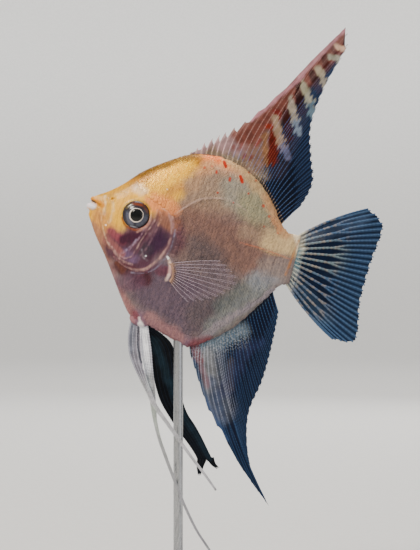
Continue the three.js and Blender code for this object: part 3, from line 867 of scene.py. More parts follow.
FOLD_LINES = (
    Line(((12.2, 0.2), (12.6, 3.4), (15, 5.8), (18.4, 5.9), (20.8, 4.2)), 0.15, 0.7, "#a08428", 0.8, broken=0.3),
    Line(((12.6, -0.8), (14, -2.9), (16.6, -3.8), (19.4, -3.2), (21.3, -1.2)), 0.15, 0.6, "#7f3a12", 0.9, broken=0.3),
    Line(((21.6, 2.2), (21.8, 0.4), (21.2, -1.6), (18.6, -4.2)), 0.1, 0.6, "#d39c8c", 0.6, broken=0.4),
    # Painted highlights along the gill cover's edge, and painted shade just outside it, under the plate.
    Line(GILL_EDGE, 0.05, 0.55, "#c39690", 0.6, broken=0.85, gap=1.6),
    Line(GILL_EDGE[2:6], 0.1, 0.75, "#dcaea2", 0.62, broken=0.7, gap=1.3),
    Line([(s + 0.35, h - 0.2) for s, h in GILL_EDGE[1:7]], 0.1, 0.6, "#5a4152", 0.5),
    Line(GILL_MEMBRANE[1:], 0.05, 0.45, "#8f8ba4", 0.6, gap=1.4),
    # A painted highlight along the cheek's edge, and painted shade in the groove behind it.
    Line(CHEEK_EDGE, 0.03, 0.42, "#c9a09c", 0.6, broken=0.85, gap=1.3),
    Line([(s + 0.7, h) for s, h in CHEEK_EDGE[:8]], 0.1, 0.7, "#5e3546", 0.45, broken=0.4),
    # The jaw fold's groove, darkened with painted shade, and a cream line behind it.
    Line(JAW_FOLD, 0.02, 0.5, "#8c5f4c", 0.5, broken=0.4),
    Line([(s + 0.6, h + 0.1) for s, h in JAW_FOLD], 0.05, 0.45, "#e8c496", 0.5),
    Line(LIP_FOLD, 0.15, 0.9, "#f0dcb8", 0.55, broken=0.5, gap=1.5),
    Line(((6.8, 3.2), (7.8, 0), (7.5, -3.4)), 0.2, 1.1, "#d9a13a", 0.5, gap=2.0),
    Line(((8.2, 3), (9.2, -0.6), (8.6, -3.4)), 0.15, 0.9, "#ecd6ae", 0.5, gap=1.5),
    # Pale streaks on the cheek and gill cover: painted wet glints.
    Line(((20.8, -2.2), (19.6, -6.4), (17.4, -10.8)), 0.03, 0.5, "#b791a4", 0.4),
    Line(((24.6, -1.8), (23.4, -7), (21, -13)), 0.03, 0.5, "#9a7480", 0.3),
    Line(((19, -6.8), (17.4, -9.8), (15.4, -12.2)), 0.03, 0.6, "#bba6c6", 0.42),
    Line(((21.6, -9.6), (22.6, -11.6), (24.2, -12.6)), 0.05, 0.5, "#a9a0ac", 0.5),
    Line(((9.4, -9.6), (12.4, -12), (15.8, -14.6), (19.4, -15.2)), 0.1, 0.7, "#c79a92", 0.5),
    Line(((12.6, -13.6), (16.2, -15.6), (20, -16)), 0.05, 0.5, "#5b2837", 0.6, broken=0.4),
    Line(((24.4, 5.6), (27, 4.8), (28.8, 3.2)), 0.05, 0.6, "#e2b096", 0.6),
    Line(((23.6, 4.6), (25.2, 2.4), (24.8, -0.4)), 0.05, 0.5, "#cf957c", 0.5),
    Line(((28, 3.4), (29.4, 1.8), (29.8, -1)), 0.1, 0.7, "#a8848a", 0.5),
)
FLANK_LINES = (
    Line(LATERAL_LINE, 0.02, 0.48, "#c4a59a", 0.42, steps=8, broken=0.75, gap=2.0),
    Line(REAR_LATERAL_LINE, 0.03, 0.45, "#b4684a", 0.6, steps=3, broken=0.6, gap=2.0),
    Line(((71.2, 6.4), (70.7, 3), (70.3, -1), (69.8, -5.6)), 0.1, 0.7, "#c07a40", 0.6, steps=5, broken=0.6, gap=2.0),
)
LINE_MARKS = strokes(
    # Three small painted glints of light on the wet skin.
    (24.6, 12.0, 24.6, 12.0, 0.1, 0.4, "#fff2e6", 0.7),
    (7.8, -4.6, 7.8, -4.6, 0.1, 0.5, "#fff2e6", 0.9),
    (23.4, -11.2, 23.4, -11.2, 0.1, 0.5, "#e9ecf2", 0.8),
    # The mouth: an orange upper jaw, a slit darkened with painted shade between the lips, and a white lower lip.
    (1.4, 3.0, 5.0, 1.5, 0.6, 1.4, "#c98018", 0.9),
    (2.2, 3.9, 5.2, 3.6, 0.1, 1.0, "#e7b25c", 0.6),
    (0.2, 0.5, 2.0, 0.5, 0.5, 1.75, "#e6dce2"),
    (1.2, 2.15, 2.5, 1.75, 0.1, 0.4, "#3c2114", 0.95),
    # The nostril's pit, darkened with painted shade.
    (7.8, 4.4, 7.8, 4.4, 0.1, 0.45, "#6a4a26", 0.45),
    # The fleshy bar that the pectoral fin grows from.
    (31.2, -10.8, 32.1, -12.6, 0.05, 0.85, "#cfae9e", 0.8),
    (32.3, -13, 32.4, -15, 0.1, 1.05, "#c39a92", 0.85),
    (32.3, -15.4, 31.9, -17.1, 0.1, 0.9, "#d8bcb4", 0.85),
    # A painted glint of light at the top of the bar.
    (30.3, -9.8, 30.6, -10.1, 0.1, 0.6, "#ffffff", 0.8),
    (24.6, -30.6, 25.2, -31.4, 0.4, 1.5, "#7c3a46", 0.7),
    (26.3, -31.7, 27.1, -33.4, 0.1, 0.8, "#e6d2d6", 0.85),
    (27.2, -33.6, 28.6, -36, 0.5, 1.4, "#efe6e8", 0.9),
)
EYE_MIDDLE = (17.0, 1.1)
SPOT = "#a8280e"
SPOTS = strokes(
    (40.6, 25.6, 41.5, 24.2, 0.3, 0.75, SPOT),
    (47.1, 22.2, 48.1, 20.6, 0.3, 0.75, SPOT),
    (43.9, 20.7, 43.9, 20, 0.2, 0.6, SPOT, 0.9),
    (38.9, 21.9, 39, 21.4, 0.15, 0.55, SPOT, 0.9),
    (34.8, 22.1, 34.8, 22.1, 0.15, 0.7, SPOT, 0.7),
    (37.1, 23.1, 37.1, 23.1, 0.1, 0.6, SPOT, 0.6),
    (49.4, 24.3, 49.4, 24.3, 0.1, 0.7, SPOT, 0.6),
    (52.4, 22.3, 52.4, 22.3, 0.1, 0.7, SPOT, 0.6),
    (41.1, 15, 41.1, 15, 0.15, 0.6, SPOT, 0.8),
    (51.1, 17.4, 51.1, 17.4, 0.15, 0.6, SPOT, 0.8),
    (56.9, 14.7, 56.9, 14.7, 0.25, 0.8, SPOT, 0.75),
    (59.6, 11.8, 59.6, 11.8, 0.2, 0.8, SPOT, 0.7),
    (46.9, 13.2, 46.9, 13.2, 0.1, 0.5, SPOT, 0.6),
    (58.8, 8.1, 58.8, 8.1, 0.1, 0.5, SPOT, 0.5),
    (63.8, 7.1, 63.8, 7.1, 0.1, 0.6, SPOT, 0.6),
)
SKIN_PAINT = Markings(GROUND, BODY_MARKS + FOLD_LINES)
SCALE_PAINT = Markings(GROUND, BODY_MARKS)
# Where the painted gold glints lie on the nape.
NAPE_PAINTED_GLINTS = strokes((22.5, 15.5, 28.5, 20.5, 1.0, 6, "#ffffff"), (15, 9.5, 21, 14, 0.6, 3.5, "#ffffff", 0.6))  # it glints
IRIS_MARKS = strokes(
    (14.0, 0.4, 15.6, -1.8, 0.4, 1.5, "#5c5e70", 0.6),
    (18.4, -1.6, 20.0, 0.6, 0.3, 1.4, "#4b4e60", 0.6),
    (14.0, 3.2, 20.0, 3.2, 0.7, 2.1, "#231a20", 0.9),
    (14.8, 4.7, 18.6, 4.95, 0.15, 0.9, "#77310a", 0.95),
    (18.6, 4.6, 20.4, 3.0, 0.1, 0.8, "#4e2614", 0.9),
    (13.1, 2.6, 14.0, 4.2, 0.1, 0.7, "#7a6a30", 0.7),
    (17.2, -1.9, 17.4, -3, 0.1, 0.6, "#26232f", 0.8),
    # A painted highlight low in the iris.
    (15.9, -2.95, 18.3, -2.95, 0.06, 0.4, "#c4c6d4", 0.75),
    (13.0, 1.0, 14.4, -2.4, 0.1, 0.5, "#2a2836", 0.7),
)


class Flesh(Enum):
    """The two surfaces that carry the body's markings."""

    SKIN = "wet mucus-coated skin"
    SCALES = "guanine-backed scales"


@dataclass(frozen=True)
class BodyFinish:
    """Fish skin under a thin coat of slime, or the scales that grow from it, with the same markings.

    Guanine plates in the scales send light back like thin metal leaf; the gold glints on the nape are painted
    highlights laid into the colour.
    """

    kind: Flesh
    roughness: float = 0.45
    slime: float = 0.22  # weight of the clear wet layer
    slime_roughness: float = 0.14
    slime_ior: float = 1.34  # nearly water
    freckle: float = 0.7  # widths of patches in millimetres
    # Width in millimetres of the noise that places the painted glints.
    glint: float = 0.5
    # The streaks are painted shade between the scale rows and painted highlight along them.
    streak: float = 0.62  # millimetres from one dark streak between scale rows to the next

    def make(self) -> Material:
        """Makes the material.

        Returns:
            The material.
        """
        paint = Painter(self.kind.value)
        freckles = paint.add(RANGE, (paint.noise(self.freckle), 0.35, 0.65, 0.0, 0.1))
        # Dark streaks of painted shade between the scale rows, and light streaks of painted highlight along them.
        streaks = paint.noise(self.streak, (1, 0.6, 0.13), 2.0)
        dark = paint.add(RANGE, (streaks, 0.36, 0.56, 0.2, 0.0))
        light = paint.add(RANGE, (streaks, 0.5, 0.66, 0.0, 0.17))
        tint = paint.layers(paint.add(CARRIED, output="Vector", attribute_name="tint"),
                            (freckles, "#4a3830", "MULTIPLY"), (dark, "#5a4438", "MULTIPLY"),
                            (light, "#fff0da", "SOFT_LIGHT"))
        ragged = paint.shifted(0.9, 0.22)
        for line in FLANK_LINES:
            tint = paint.line(tint, ragged, line)
        tint = paint.marks(tint, ragged, LINE_MARKS + SPOTS)
        # Painted gold glints, laid into the colour on the nape.
        glints = paint.add(RANGE, (paint.noise(self.glint, detail=1.0), 0.58, 0.7, 0.0, 0.9))
        nape = paint.marks((0, 0, 0, 1), paint.shifted(3.0, 1.5), NAPE_PAINTED_GLINTS)
        tint = paint.layers(tint, (paint.add(MATH, (glints, nape), operation="MULTIPLY"), "#ffd25a"))
        uneven = (paint.noise(0.8), 0.3, 0.7, self.roughness - 0.1, self.roughness + 0.1)
        inputs = {"Roughness": paint.add(RANGE, uneven), "IOR": 1.4, "Specular IOR Level": 0.3,
                  "Coat Weight": self.slime, "Coat Roughness": self.slime_roughness, "Coat IOR": self.slime_ior}
        if self.kind is Flesh.SCALES:
            tone = paint.add(RANGE, (paint.add(CARRIED, output="Fac", attribute_name="tone"), 0.0, 1.0, 0.0, 0.3))
            tint = paint.layers(tint, (tone, "#fff3dc", "SOFT_LIGHT"))
            inputs |= {"Metallic": 0.18, "Normal": paint.relief((paint.noise(0.25, (0.3, 1, 1)), 0.012))}
        else:
            pores_and_dents = paint.relief((paint.noise(0.35), 0.03), (paint.noise(2.2), 0.12))
            inputs |= {"Normal": pores_and_dents, "Subsurface Weight": 0.12, "Subsurface Scale": 1.2 * MM,
                       "Subsurface Radius": (1.0, 0.45, 0.3)}
        return paint.finish({"Base Color": tint, **inputs})


# ---- The skin ----


@dataclass(frozen=True)
class Fold:
    """A ridge, a groove or a plate's edge in the skin, along a line of s and h, in millimetres."""

    line: Points
    height: float
    width: float
    fall: float = 0.0  # a plate's edge: how far its height takes to fade away on the inner side
    ends: float = 0.12  # share of the line over which each end fades

    def lift(self, s: Array, h: Array) -> Array:
        """Works out how far the skin is raised.

        Args:
            s: Places along the body.
            h: Heights.

        Returns:
            The rise at each.
        """
        line = Trace(*self.line).at(np.linspace(0, 1, 60))
        start, way = line[:-1], np.diff(line, axis=0)
        off = np.stack([s, h], -1)[:, None] - start
        share = np.clip((off * way).sum(-1) / (way**2).sum(-1), 0, 1)
        gap = off - share[..., None] * way
        away = np.linalg.norm(gap, axis=-1)
        best = away.argmin(1)
        rows = np.arange(len(s))
        place = (best + share[rows, best]) / len(way)
        fade = ease(place / self.ends) * ease((1 - place) / self.ends)
        distance = away[rows, best]
        if not self.fall:
            return self.height * hump(distance, self.width) * fade
        cross = way[best, 0] * gap[rows, best, 1] - way[best, 1] * gap[rows, best, 0]
        inward = np.sign(cross) * distance
        plate = ease(0.5 + inward / self.width) * np.exp(-np.maximum(inward, 0) / self.fall)
        return self.height * plate * fade


@dataclass
class Skin:
    """One skin over the whole body, from the lips to the root of the tail fin."""

    coat_depth: float = 0.14  # the skin lies this far inside the solids, and the scales fill the room
    grain: float = 0.304  # size of the skin's faces
    passes: int = 9  # how often they are evened out
    rings: int = 150
    ring_points: int = 60
    socket: float = 4.25  # radius of the eye's hole
    socket_floor: float = 3.6  # y of its bottom
    lid: float = 0.22  # height of the rim round it
    nostril: Place = (7.8, 4.4)
    folds: tuple[Fold, ...] = (
        Fold(GILL_EDGE, 0.34, 0.7, 4.0),
        Fold(GILL_MEMBRANE, 0.22, 0.6, 1.6),
        Fold(CHEEK_EDGE, 0.2, 0.55),
        Fold([(s + 0.7, h + 0.2) for s, h in CHEEK_EDGE], -0.2, 0.5),
        Fold(LATERAL_LINE, 0.09, 0.4),
        Fold(REAR_LATERAL_LINE, 0.08, 0.35),
        Fold(JAW_FOLD, -0.28, 0.4),
        Fold(LIP_FOLD, 0.22, 0.6),
        Fold(((6.9, 2.6), (7.6, -0.8), (7.4, -3.6)), -0.16, 0.6),
        Fold(((1.2, 2.05), (2.9, 1.55), (4.6, 0.9)), -0.45, 0.42),
        Fold(((12.4, -4.2), (15.2, -7.6), (18.6, -9.2)), -0.18, 0.8),
        Fold(((22.6, -3.4), (24.6, -8), (23, -12.6)), 0.12, 0.7),
        Fold(((24.6, 3.4), (26.4, -1.6), (27.6, -6)), -0.12, 0.9),
    )

    def lip(self, front: Place, corner: Place, half_gape: float, radius: float, corner_radius: float) -> Form:
        """Makes a lip, a roll that bends round the snout from one corner of the mouth to the other.

        Args:
            front: Its foremost place of s and h.
            corner: The corner of the mouth.
            half_gape: Half the mouth's width.
            radius: Its radius at the front.
            corner_radius: Its radius at the corners.

        Returns:
            The form.
        """
        turn = np.linspace(-math.pi / 2, math.pi / 2, 41)
        back = 1 - np.cos(turn)
        s = front[0] + (corner[0] - front[0]) * back
        h = front[1] + (corner[1] - front[1]) * back
        path = np.stack([s, half_gape * np.sin(turn), h], -1)
        return tube(path, corner_radius + (radius - corner_radius) * np.sqrt(np.clip(np.cos(turn), 0, 1)))

    def flesh(self) -> Form:
        """Makes the closed forms that grow into the skin.

        Returns:
            The forms in one.
        """
        first = BODY.ring(BODY.head_start, self.ring_points, self.coat_depth)
        middle = np.array((0, 0, BODY.widest(BODY.head_start)))
        nose = middle + (first - middle) * (1, BODY.nose_share, BODY.nose_share) - (BODY.nose_round, 0, 0)
        places = np.linspace(BODY.head_start, BODY.end, self.rings)
        body = loft([nose, *(BODY.ring(s, self.ring_points, self.coat_depth) for s in places)])
        upper = self.lip((1.4, 2.8), (4.9, 1.35), 2.5, 0.9, 0.5)
        lower = self.lip((0.85, 0.2), (3.8, 0.2), 2.0, 1.08, 0.5)
        flank = float(BODY.flank(32.4, -14.4))
        left = Form.joined([
            pad((32.5, -flank - 0.15, -14.4), (3.4, 0.85, 0.95), -80),  # the root of the pectoral fin
            pad((26.4, -1.7, -32.6), (3.4, 1.3, 1.9), -8),  # the root of the pelvic fin
            pad((3.3, -2.2, 2.1), (1.9, 0.75, 0.75), -22),  # the upper jaw's pad
        ])
        return Form.joined([body, upper, lower, left, replace(left.flipped(), points=left.points * (1, -1, 1))])

    def smooth(self, points: Array, edges: Array) -> Array:
        """Evens out the remesh's steps, without drawing the form in.

        Args:
            points: The points.
            edges: Pairs of their numbers.

        Returns:
            The points where they are moved to.
        """
        a, b = edges.T
        count = np.bincount(edges.ravel(), minlength=len(points))[:, None]
        for step in (0.5, -0.52) * self.passes:
            sums = [np.bincount(a, column[b], len(points)) + np.bincount(b, column[a], len(points))
                    for column in points.T]
            points = points + step * (np.stack(sums, -1) / count - points)
        return points

    def relief(self, places: Array, normals: Array) -> Array:
        """Presses the folds, the nostrils and the eyes' sockets into the skin.

        Args:
            places: Its places of s, y and h.
            normals: The directions that it faces.

        Returns:
            The places where they are moved to.
        """
        s, y, h = places.T
        lift = np.zeros(len(s))
        for fold in self.folds:
            margin = 3 * fold.width + 3 * fold.fall
            low, high = np.min(fold.line, 0) - margin, np.max(fold.line, 0) + margin
            near = (s > low[0]) & (s < high[0]) & (h > low[1]) & (h < high[1])
            lift[near] += fold.lift(s[near], h[near])
        lift *= ease((np.abs(y) - 0.5) / 1.2)
        nostril = np.hypot(s - self.nostril[0], h - self.nostril[1])
        lift += 0.16 * hump(nostril - 0.75, 0.25) - 0.5 * hump(nostril, 0.45)
        eye = np.hypot(s - EYE_MIDDLE[0], h - EYE_MIDDLE[1])
        lift += self.lid * hump(eye - self.socket - 0.55, 0.45)
        moved = places + normals * lift[:, None]
        hole = ease((self.socket + 0.25 - eye) / 0.5) * (np.abs(y) > 2)
        moved[:, 1] += hole * (np.sign(y) * self.socket_floor - moved[:, 1])
        return moved

    def build(self) -> Piece:
        """Builds the skin.

        Returns:
            The skin.
        """
        made = self.flesh().make("skin")
        remesh = made.modifiers.new("even faces", "REMESH")
        remesh.mode = "VOXEL"
        remesh.voxel_size = self.grain * MM
        mesh = evaluated(made).data
        points = self.smooth(read(mesh.vertices, "co", 3, float), read(mesh.edges, "vertices", 2, np.int32))
        mesh.vertices.foreach_set("co", points.ravel())
        mesh.update()
        normals = read(mesh.vertex_normals, "vector", 3, np.float32)
        places = self.relief(FISH.from_world(points), normals @ FISH.axes.T)
        mesh.vertices.foreach_set("co", FISH.to_world(places).ravel())
        mesh.update()
        mesh.shade_smooth()
        tints = mesh.attributes.new("tint", "FLOAT_VECTOR", "POINT")
        tints.data.foreach_set("vector", SKIN_PAINT.tints(places).astype(np.float32).ravel())
        mesh.materials.clear()
        mesh.materials.append(BodyFinish(Flesh.SKIN).make())
        return made


# ---- The scales ----


def scale_tree() -> bpy.types.NodeTree:
    """Makes the nodes that put one thin scale on each point of a mesh.

    Returns:
        The tree.
    """
    inputs = {"Geometry": "Geometry", "Length": "Float", "Width": "Float", "Thickness": "Float", "Tilt": "Float",
              "Seed": "Int", "Patch": "Float", "Finish": "Material"}
    nodes, given = Nodes.group("coat of scales", "GeometryNodeTree", inputs, {"Geometry": "Geometry"})
    add = nodes.add
    outward, rearward, local, root = (add(NAMED, (name,), data_type="FLOAT_VECTOR")
                                      for name in ("outward", "rearward", "local", "root"))
    size = add(NAMED, ("size",), data_type="FLOAT")
    ball = add("GeometryNodeMeshUVSphere", {"Segments": 9, "Rings": 4, "Radius": 0.5})
    ball = add(STORE, {"Geometry": ball, "Name": "local", "Value": add("GeometryNodeInputPosition")},
               data_type="FLOAT_VECTOR", domain="POINT")
    sizes = add(XYZ, (given["Length"], given["Width"], given["Thickness"]))
    back = add(XYZ, (add(MATH, (given["Length"], 0.3), operation="MULTIPLY"),))
    lean = add(XYZ, {1: add(MATH, (given["Tilt"], -1.0), operation="MULTIPLY")})
    flat = add("GeometryNodeTransform", {"Geometry": ball, "Translation": back, "Scale": sizes})
    plate = add("GeometryNodeTransform", {"Geometry": flat, "Rotation": lean})
    facing = add("FunctionNodeAxesToRotation", (outward, rearward), primary_axis="Z", secondary_axis="X")
    wobble = add("FunctionNodeRandomValue", {0: (-0.03, -0.02, -0.05), 1: (0.03, 0.02, 0.05), "Seed": given["Seed"]},
                 data_type="FLOAT_VECTOR")
    turned = add("FunctionNodeRotateRotation", (facing, wobble), rotation_space="LOCAL")
    coat = add("GeometryNodeInstanceOnPoints",
               {"Points": given["Geometry"], "Instance": plate, "Rotation": turned, "Scale": size})
    coat = add("GeometryNodeRealizeInstances", (coat,))
    patch = add(VECTOR, (root, add(VECTOR, {0: local, "Scale": given["Patch"]}, operation="SCALE")), operation="ADD")
    coat = add(STORE, {"Geometry": coat, "Name": "OFBake", "Value": patch}, data_type="FLOAT2", domain="CORNER")
    return nodes.dressed(coat, given["Finish"])


@dataclass
class ScaleCoat:
    """Thin overlapping scales over the flanks, the nape and the breast."""

    step_s: float = 0.98  # from one row to the next along the flank, in millimetres
    step_h: float = 1.12
    fine: float = 0.68  # share of that step near the back, the belly and on the nape
    length: float = 1.75  # a scale is longer than the step, so that scales overlap
    width: float = 1.5
    thickness: float = 0.13
    tilt: float = math.radians(3.6)
    patch: float = 0.003  # width of a scale's patch on the unwrap
    seed: int = 11
    front: SmoothLine = SmoothLine(  # heights, and where behind the snout the scales start at each
        (-40, 14), (-25, 16.5), (-18.2, 22), (-14, 29.4), (-8, 31.4), (-2, 31.6), (3, 29.8), (6, 24.5), (8.5, 18),
        (12, 14.5), (20, 14), (40, 14),
    )
    rear: float = 70.4
    start_y: float = 12.0  # where the rays that look for the skin start

    def unwrap(self, s: Array, h: Array, side: Side) -> Array:
        """Lays places out flat, each side by lengths along its surface.

        Args:
            s: Places along the body.
            h: Heights.
            side: Their side.

        Returns:
            The places on the unwrap.
        """
        level = BODY.widest(s)
        arc = np.zeros(len(s))
        last_h, last_y = level, BODY.flank(s, level)
        for share in np.linspace(0, 1, 13)[1:]:
            now_h = level + (h - level) * share
            now_y = BODY.flank(s, now_h)
            arc += np.hypot(now_h - last_h, now_y - last_y)
            last_h, last_y = now_h, now_y
        across = 0.25 + 0.25 * (side is Side.RIGHT) * 2 + np.sign(h - level) * arc * 0.0055
        return np.stack([0.02 + s * 0.0128, across, np.zeros(len(s))], -1)

    def covered(self, s: Array, h: Array) -> Array:
        """Finds which places carry scales: not the snout, the cheek, the eyes or the fins' roots.

        Args:
            s: Places along the body.
            h: Heights.

        Returns:
            True for each that does.
        """
        root = np.hypot((s - 32.5) / 1.6, (h + 14.4) / 4)  # the root of the pectoral fin
        return (s > self.front(h)) & (BODY.rim(s, h) > 0.25) & (root > 1) & (s < self.rear)

    def lattice(self, step: float) -> tuple[Array, Array]:
        """Makes staggered places over the whole outline.

        Args:
            step: Share of the step.

        Returns:
            Their s and h.
        """
        columns = np.arange(10, 72, self.step_s * step / 2)
        rows = np.arange(-38, 30, self.step_h * step)
        s, h = np.meshgrid(columns, rows, indexing="ij")
        h = h + (np.arange(len(columns)) % 2)[:, None] * self.step_h * step / 2
        return s.ravel(), h.ravel()

    def points(self, skin: BVHTree, side: Side) -> Form:
        """Finds the roots of one side's scales on the skin.

        Args:
            skin: The skin.
            side: The side of the fish.

        Returns:
            The roots, with what each scale needs.
        """
        random = np.random.default_rng(self.seed + side.value)
        sets = []
        for step, fine in ((1.0, False), (self.fine, True)):
            s, h = self.lattice(step)
            small = (BODY.rim(s, h) < 4.2) | ((s < 33) & ((h > 8) | (h < -15))) | (s > 64)
            keep = self.covered(s, h) & (small == fine)
            s, h = s[keep], h[keep]
            size = np.full(len(s), step) * random.uniform(0.94, 1.06, len(s))
            sets.append((s + random.normal(0, 0.04, len(s)), h + random.normal(0, 0.04, len(s)), size))
        s, h, size = (np.concatenate(parts) for parts in zip(*sets))
        outside = FISH.to_world(np.stack([s, np.full(len(s), self.start_y * side.value), h], -1))
        hits = [skin.ray_cast(Vector(start), Vector((0, -side.value, 0))) for start in outside]
        kept = [i for i, (place, *_) in enumerate(hits) if place is not None and place.y * side.value > 0]
        found, outward = (np.array([hits[i][which] for i in kept]) for which in (0, 1))
        s, h, size = s[kept], h[kept], size[kept]
        step = 0.6
        slope_s = (BODY.flank(s + step, h) - BODY.flank(s - step, h)) / (2 * step)
        slope_h = (BODY.flank(s, h + step) - BODY.flank(s, h - step)) / (2 * step)
        formed = np.stack([-slope_s, np.full(len(s), float(side.value)), -slope_h], -1)
        formed /= np.linalg.norm(formed, axis=1)[:, None]
        share = (h - BODY.belly(s)) / (BODY.back(s) - BODY.belly(s))
        back_slope, belly_slope = ((edge(s + 1) - edge(s - 1)) / 2 for edge in (BODY.back, BODY.belly))
        slope = share**2 * back_slope + (1 - share) ** 2 * belly_slope
        roots = FISH.from_world(found)
        return Form(roots, values={
            "outward": 0.65 * formed @ FISH.axes + 0.35 * outward,
            "rearward": np.stack([np.ones(len(s)), slope_s * side.value, 0.7 * slope], -1) @ FISH.axes,
            "size": size,
            "tone": random.uniform(0, 1, len(s)),
            "root": self.unwrap(s, h, side),
            "tint": SCALE_PAINT.tints(roots),
        })

    def build(self, skin: Piece) -> list[Piece]:
        """Builds the coat.

        Args:
            skin: The skin that the scales grow from.

        Returns:
            One piece for the back and one for the belly on each side.
        """
        surface = BVHTree.FromObject(skin, bpy.context.evaluated_depsgraph_get())
        tree = scale_tree()
        inputs = {"Length": self.length * MM, "Width": self.width * MM, "Thickness": self.thickness * MM,
                  "Tilt": self.tilt, "Seed": self.seed, "Patch": self.patch,
                  "Finish": BodyFinish(Flesh.SCALES, roughness=0.36).make()}
        made = []
        for side in Side:
            roots = self.points(surface, side)
            above = roots.points[:, 2] > BODY.widest(roots.points[:, 0])
            for part, chosen in (("back", above), ("belly", ~above)):
                values = {key: value[chosen] for key, value in roots.values.items()}
                form = Form(roots.points[chosen], values=values)
                piece = grown(form.make(f"scales_{part}_{side.name.lower()}"), tree, inputs)
                for name in ("outward", "rearward", "size", "root", "local"):
                    if name in piece.data.attributes:
                        piece.data.attributes.remove(piece.data.attributes[name])
                made.append(piece)
        return made


# ---- The eyes ----


@dataclass(frozen=True)
class EyeFinish:
    """A wet eye: a black pupil in a cream ring, in a blue-grey iris under a clear cornea."""

    pupil: float = 2.12  # radii in millimetres
    ring: float = 2.42
    iris: float = 4.3
    cornea_ior: float = 1.38

    def make(self) -> Material:
        """Makes the material.

        Returns:
            The material.
        """
        paint = Painter("wet eye")
        middle = (EYE_MIDDLE[0], 0, EYE_MIDDLE[1])
        off = paint.add(VECTOR, (paint.shifted(1.2, 0.12), middle), operation="SUBTRACT")
        away = paint.add(VECTOR, (off,), "Value", operation="LENGTH")
        ahead, _, up = paint.add("ShaderNodeSeparateXYZ", (off,), None)
        angle = paint.add(MATH, (up, ahead), operation="ARCTAN2")
        fine = [paint.add(MATH, pair, operation="MULTIPLY") for pair in ((angle, 3.0), (away, 0.5))]
        wound = paint.add(XYZ, fine)
        wrinkles = paint.add("ShaderNodeTexNoise", {"Vector": wound, "Scale": 2.0, "Detail": 3.0}, "Fac")
        grey = paint.layers(colour("#1e202c"), (paint.add(RANGE, (wrinkles, 0.3, 0.7, 0.0, 1.0)), "#40434f"))
        offset = paint.add(VECTOR, (off, (0.1, 0, 0.08)), operation="ADD")
        ring = paint.add(VECTOR, (offset,), "Value", operation="LENGTH")
        tint = paint.layers(
            paint.marks(grey, paint.flat, IRIS_MARKS),
            (paint.add(RANGE, (away, self.iris - 0.9, self.iris + 0.05, 0.0, 0.7)), "#241a1c"),
            (paint.add(RANGE, (ring, self.ring - 0.2, self.ring + 0.1, 1.0, 0.0)), "#f8e8da"),
            (paint.add(RANGE, (away, self.pupil - 0.1, self.pupil + 0.12, 1.0, 0.0)), "#020203"),
        )
        return paint.finish({"Base Color": tint, "Roughness": 0.3, "IOR": self.cornea_ior, "Specular IOR Level": 0.2,
                             "Coat Weight": 0.8, "Coat Roughness": 0.12, "Coat IOR": self.cornea_ior})


@dataclass
class Eye:
    """One eyeball: the lens stands out of a ring in the iris, and the cornea falls away to the socket."""

    side: Side
    radius: float = 4.9
    half_depth: float = 2.3
    middle_y: float = 4.5
    lens_rise: float = 0.12
    ring_rise: float = 0.06
    trough: float = 0.1
    around: int = 72

    def profile(self, r: Array) -> Array:
        """Works out the eye's surface.

        Args:
            r: Distances from its middle.

        Returns:
            How far out it is at each.
        """
        dome = self.middle_y + self.half_depth * np.sqrt(np.clip(1 - np.square(r / self.radius), 0, 1))
        lens = self.lens_rise * ease((2.0 - r) / 0.5)
        return dome + lens + self.ring_rise * hump(r - 2.15, 0.18) - self.trough * hump(r - 3.3, 0.6)

    def build(self) -> Piece:
        """Builds the eye.

        Returns:
            The eye.
        """
        r = np.concatenate([np.linspace(0.05, 4.6, 44), np.linspace(4.66, self.radius, 6)])
        turn = np.linspace(0, 2 * math.pi, self.around, endpoint=False)
        rings = []
        for radius, out in zip(r, self.profile(r)):
            s = EYE_MIDDLE[0] + radius * np.cos(turn)
            h = EYE_MIDDLE[1] + radius * np.sin(turn)
            rings.append(np.stack([s, np.full(self.around, out * self.side.value), h], -1))
        inner = rings[-1].copy()
        inner[:, 1] = (self.middle_y - 1.0) * self.side.value
        form = loft([*rings, inner])
        made = (form.flipped() if self.side is Side.LEFT else form).make(f"eye_{self.side.name.lower()}_ball")
        made.data.shade_smooth()
        return made


# ---- Fins ----


def ray_tree() -> bpy.types.NodeTree:
    """Makes the nodes that turn every loose line of a fin's mesh into a round ray and keep its membrane.

    Returns:
        The tree, which is made once.
    """
    name = "rays in a membrane"
    if name in bpy.data.node_groups:
        return bpy.data.node_groups[name]
    inputs = {"Geometry": "Geometry", "Sides": "Int", "Thicker": "Float", "Finish": "Material"}
    nodes, given = Nodes.group(name, "GeometryNodeTree", inputs, {"Geometry": "Geometry"})
    add = nodes.add
    thick = add(NAMED, ("thick",), data_type="FLOAT")
    is_ray = add("FunctionNodeCompare", (thick, 0.0), operation="GREATER_THAN")
    parted = add("GeometryNodeSeparateGeometry", (given["Geometry"], is_ray), None, domain="POINT")
    lines = add("GeometryNodeMeshToCurve", (parted["Selection"],))
    outline = add("GeometryNodeCurvePrimitiveCircle", {"Resolution": given["Sides"], "Radius": 1.0})
    radius = add(MATH, (thick, given["Thicker"]), operation="MULTIPLY")
    rays = add("GeometryNodeCurveToMesh",
               {"Curve": lines, "Profile Curve": outline, "Scale": radius, "Fill Caps": True})
    whole = add("GeometryNodeJoinGeometry", ([parted["Inverted"], rays],))
    return nodes.dressed(add("GeometryNodeRealizeInstances", (whole,)), given["Finish"])


